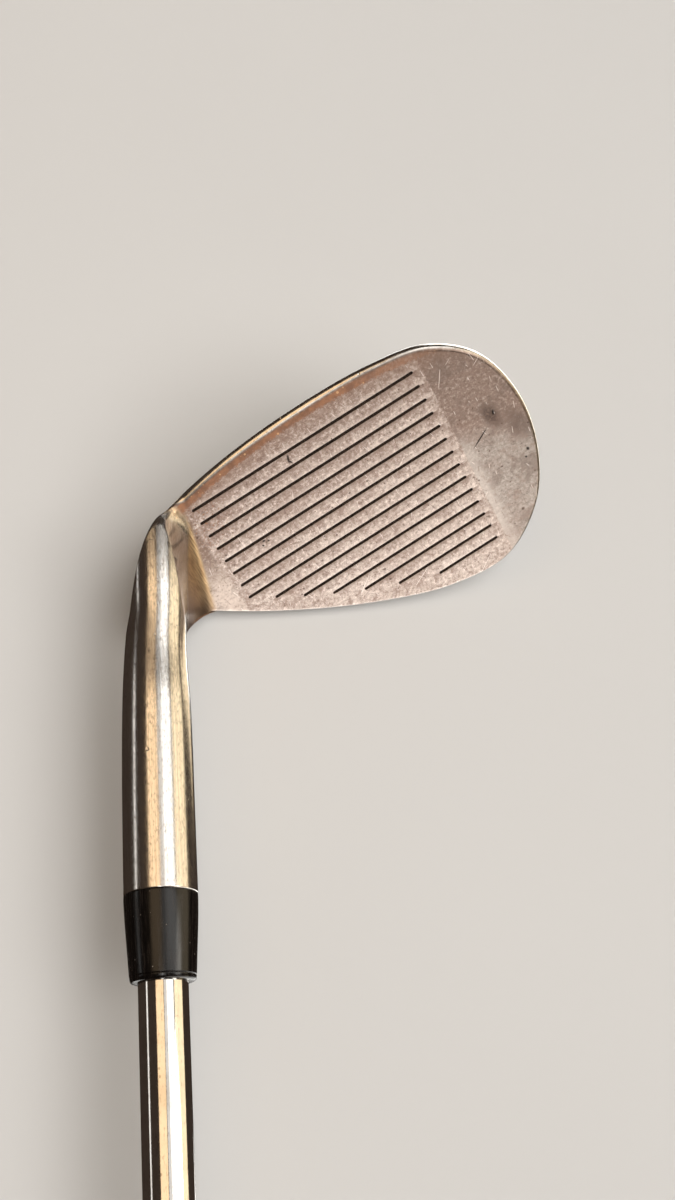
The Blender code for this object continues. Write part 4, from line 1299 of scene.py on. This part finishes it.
def lights():
    """Strips that the shaft mirrors as lines, panels for each side of the head, and a floor light."""
    warm = (1.0, 0.72, 0.44)
    cream = (1.0, 0.82, 0.55)
    white = (1.0, 0.985, 0.95)
    round_the_shaft("strip_heel_side", -27, 7, 1.25, warm)
    round_the_shaft("strip_above", 22, 52, 1.7, white)
    round_the_shaft("strip_above_dim", 9, 22, 0.75, white)
    toward_head("leading_edge_light", (-0.25, -0.36, 0.90), 0.80, (0.16, 0.20), 4.5, white)
    toward_head("toe_light", (0.63, -0.20, 0.73), 0.80, (0.34, 0.26), 3.6, white)
    # These reach down to the floor or below it.  They show in metal and gloss, and light nothing
    # matt, because that would draw their edges on the floor.
    low_panels = (
        toward_head("face_softbox", (0.438, -0.882, 0.20), 0.85, (0.7, 0.36), 1.68,
                    (1.0, 0.90, 0.83)),
        round_the_shaft("strip_toe_side", 57, 100, 1.25, cream),
        round_the_shaft("strip_low_heel_side", -77, -70, 1.1, white),
        toward_head("toe_rim_light", (0.50, 0.83, -0.26), 0.85, (0.8, 1.4), 2.4, white),
        toward_head("fillet_light", (0.80, 0.47, -0.38), 0.85, (0.34, 0.62), 1.1, cream),
        toward_head("toe_side_light", (0.87, -0.48, 0.08), 0.85, (0.25, 0.20), 2.0, cream),
        toward_head("topline_light", (0.40, -0.71, -0.58), 0.80, (1.0, 1.2), 2.3, white))
    for low_panel in low_panels:
        low_panel.visible_diffuse = False
    sun = bpy.data.lights.new("floor_fill", "SUN")
    sun.energy = 2.15
    sun.angle = math.radians(60)
    sun.color = (1.0, 0.985, 0.96)
    obj = added("floor_fill", sun)
    obj.matrix_world = facing((0.3, -0.2, 1.0))
    obj.visible_glossy = False


def world():
    """A faint warm glow from all round."""
    sky = bpy.data.worlds.new("studio")
    bpy.context.scene.world = sky
    sky.use_nodes = True
    background = sky.node_tree.nodes["Background"]
    background.inputs["Color"].default_value = (1.0, 0.72, 0.56, 1.0)
    background.inputs["Strength"].default_value = 0.04


def camera():
    """Looks down on the head, turned so that the shaft runs down the picture."""
    azimuth = math.radians(-37.73)
    elevation = math.radians(62.28)
    roll = math.radians(36.91)
    distance = 0.3261
    aim = Vector((STAGE_CENTRE.x - 1.35 * MM, STAGE_CENTRE.y + 4.52 * MM, 20.0 * MM))
    back = Vector((math.sin(azimuth) * math.cos(elevation),
                   -math.cos(azimuth) * math.cos(elevation), math.sin(elevation)))
    data = bpy.data.cameras.new("camera")
    data.sensor_width = 36.0
    data.lens = 47.71
    data.clip_start = 0.01
    obj = added("camera", data)
    obj.matrix_world = (Matrix.Translation(aim + back * distance) @ facing(back)
                        @ Matrix.Rotation(roll, 4, "Z"))
    bpy.context.scene.camera = obj


# --- the club ---
def carried_over(node, finish):
    """A CAD node whose shape is right gets its material."""
    slots = frame["nodes"][node].material_slots
    if not slots:
        frame["nodes"][node].data.materials.append(finish)
    for material_slot in slots:
        material_slot.material = finish


def club():
    head()
    place("hosel_ferrule", turned("hosel_ferrule", ferrule_profile()), SHAFT_LINE,
          ferrule_plastic(), "ferrule_plastic", "ferrule")
    place("stepped_shaft", turned("stepped_shaft", shaft_profile()), SHAFT_LINE,
          shaft_chrome(), "shaft_chrome", "shaft")
    place("label_band", turned("label_band", band_profile()), SHAFT_LINE,
          band_foil(), "band_foil", "shaft_band")
    place("grip_sleeve", grip_mesh(), SHAFT_LINE, grip_rubber(), "grip_rubber", "grip")
    place("end_cap", turned("end_cap", cap_profile()), SHAFT_LINE,
          cap_rubber(), "cap_rubber", "grip_cap")
    for node, *look in (
            ("hosel_epoxy", "cured_epoxy", (0.52, 0.43, 0.24), (0.70, 0.62, 0.42), 0.8, 0.30),
            ("tip_weight", "turned_brass", (0.60, 0.40, 0.15), (0.80, 0.58, 0.26), 0.9, 0.34, 1.0, 0.01),
            ("tip_plug", "cork", (0.32, 0.19, 0.10), (0.60, 0.42, 0.25), 1.4, 0.85, 0.0, 0.2),
            ("grip_tape", "paper_tape", (0.62, 0.56, 0.42), (0.78, 0.73, 0.60), 1.1, 0.80)):
        carried_over(node, hidden_finish(*look))


camera()
studio()
lights()
world()
club()
bpy.context.scene.view_settings.view_transform = "Standard"
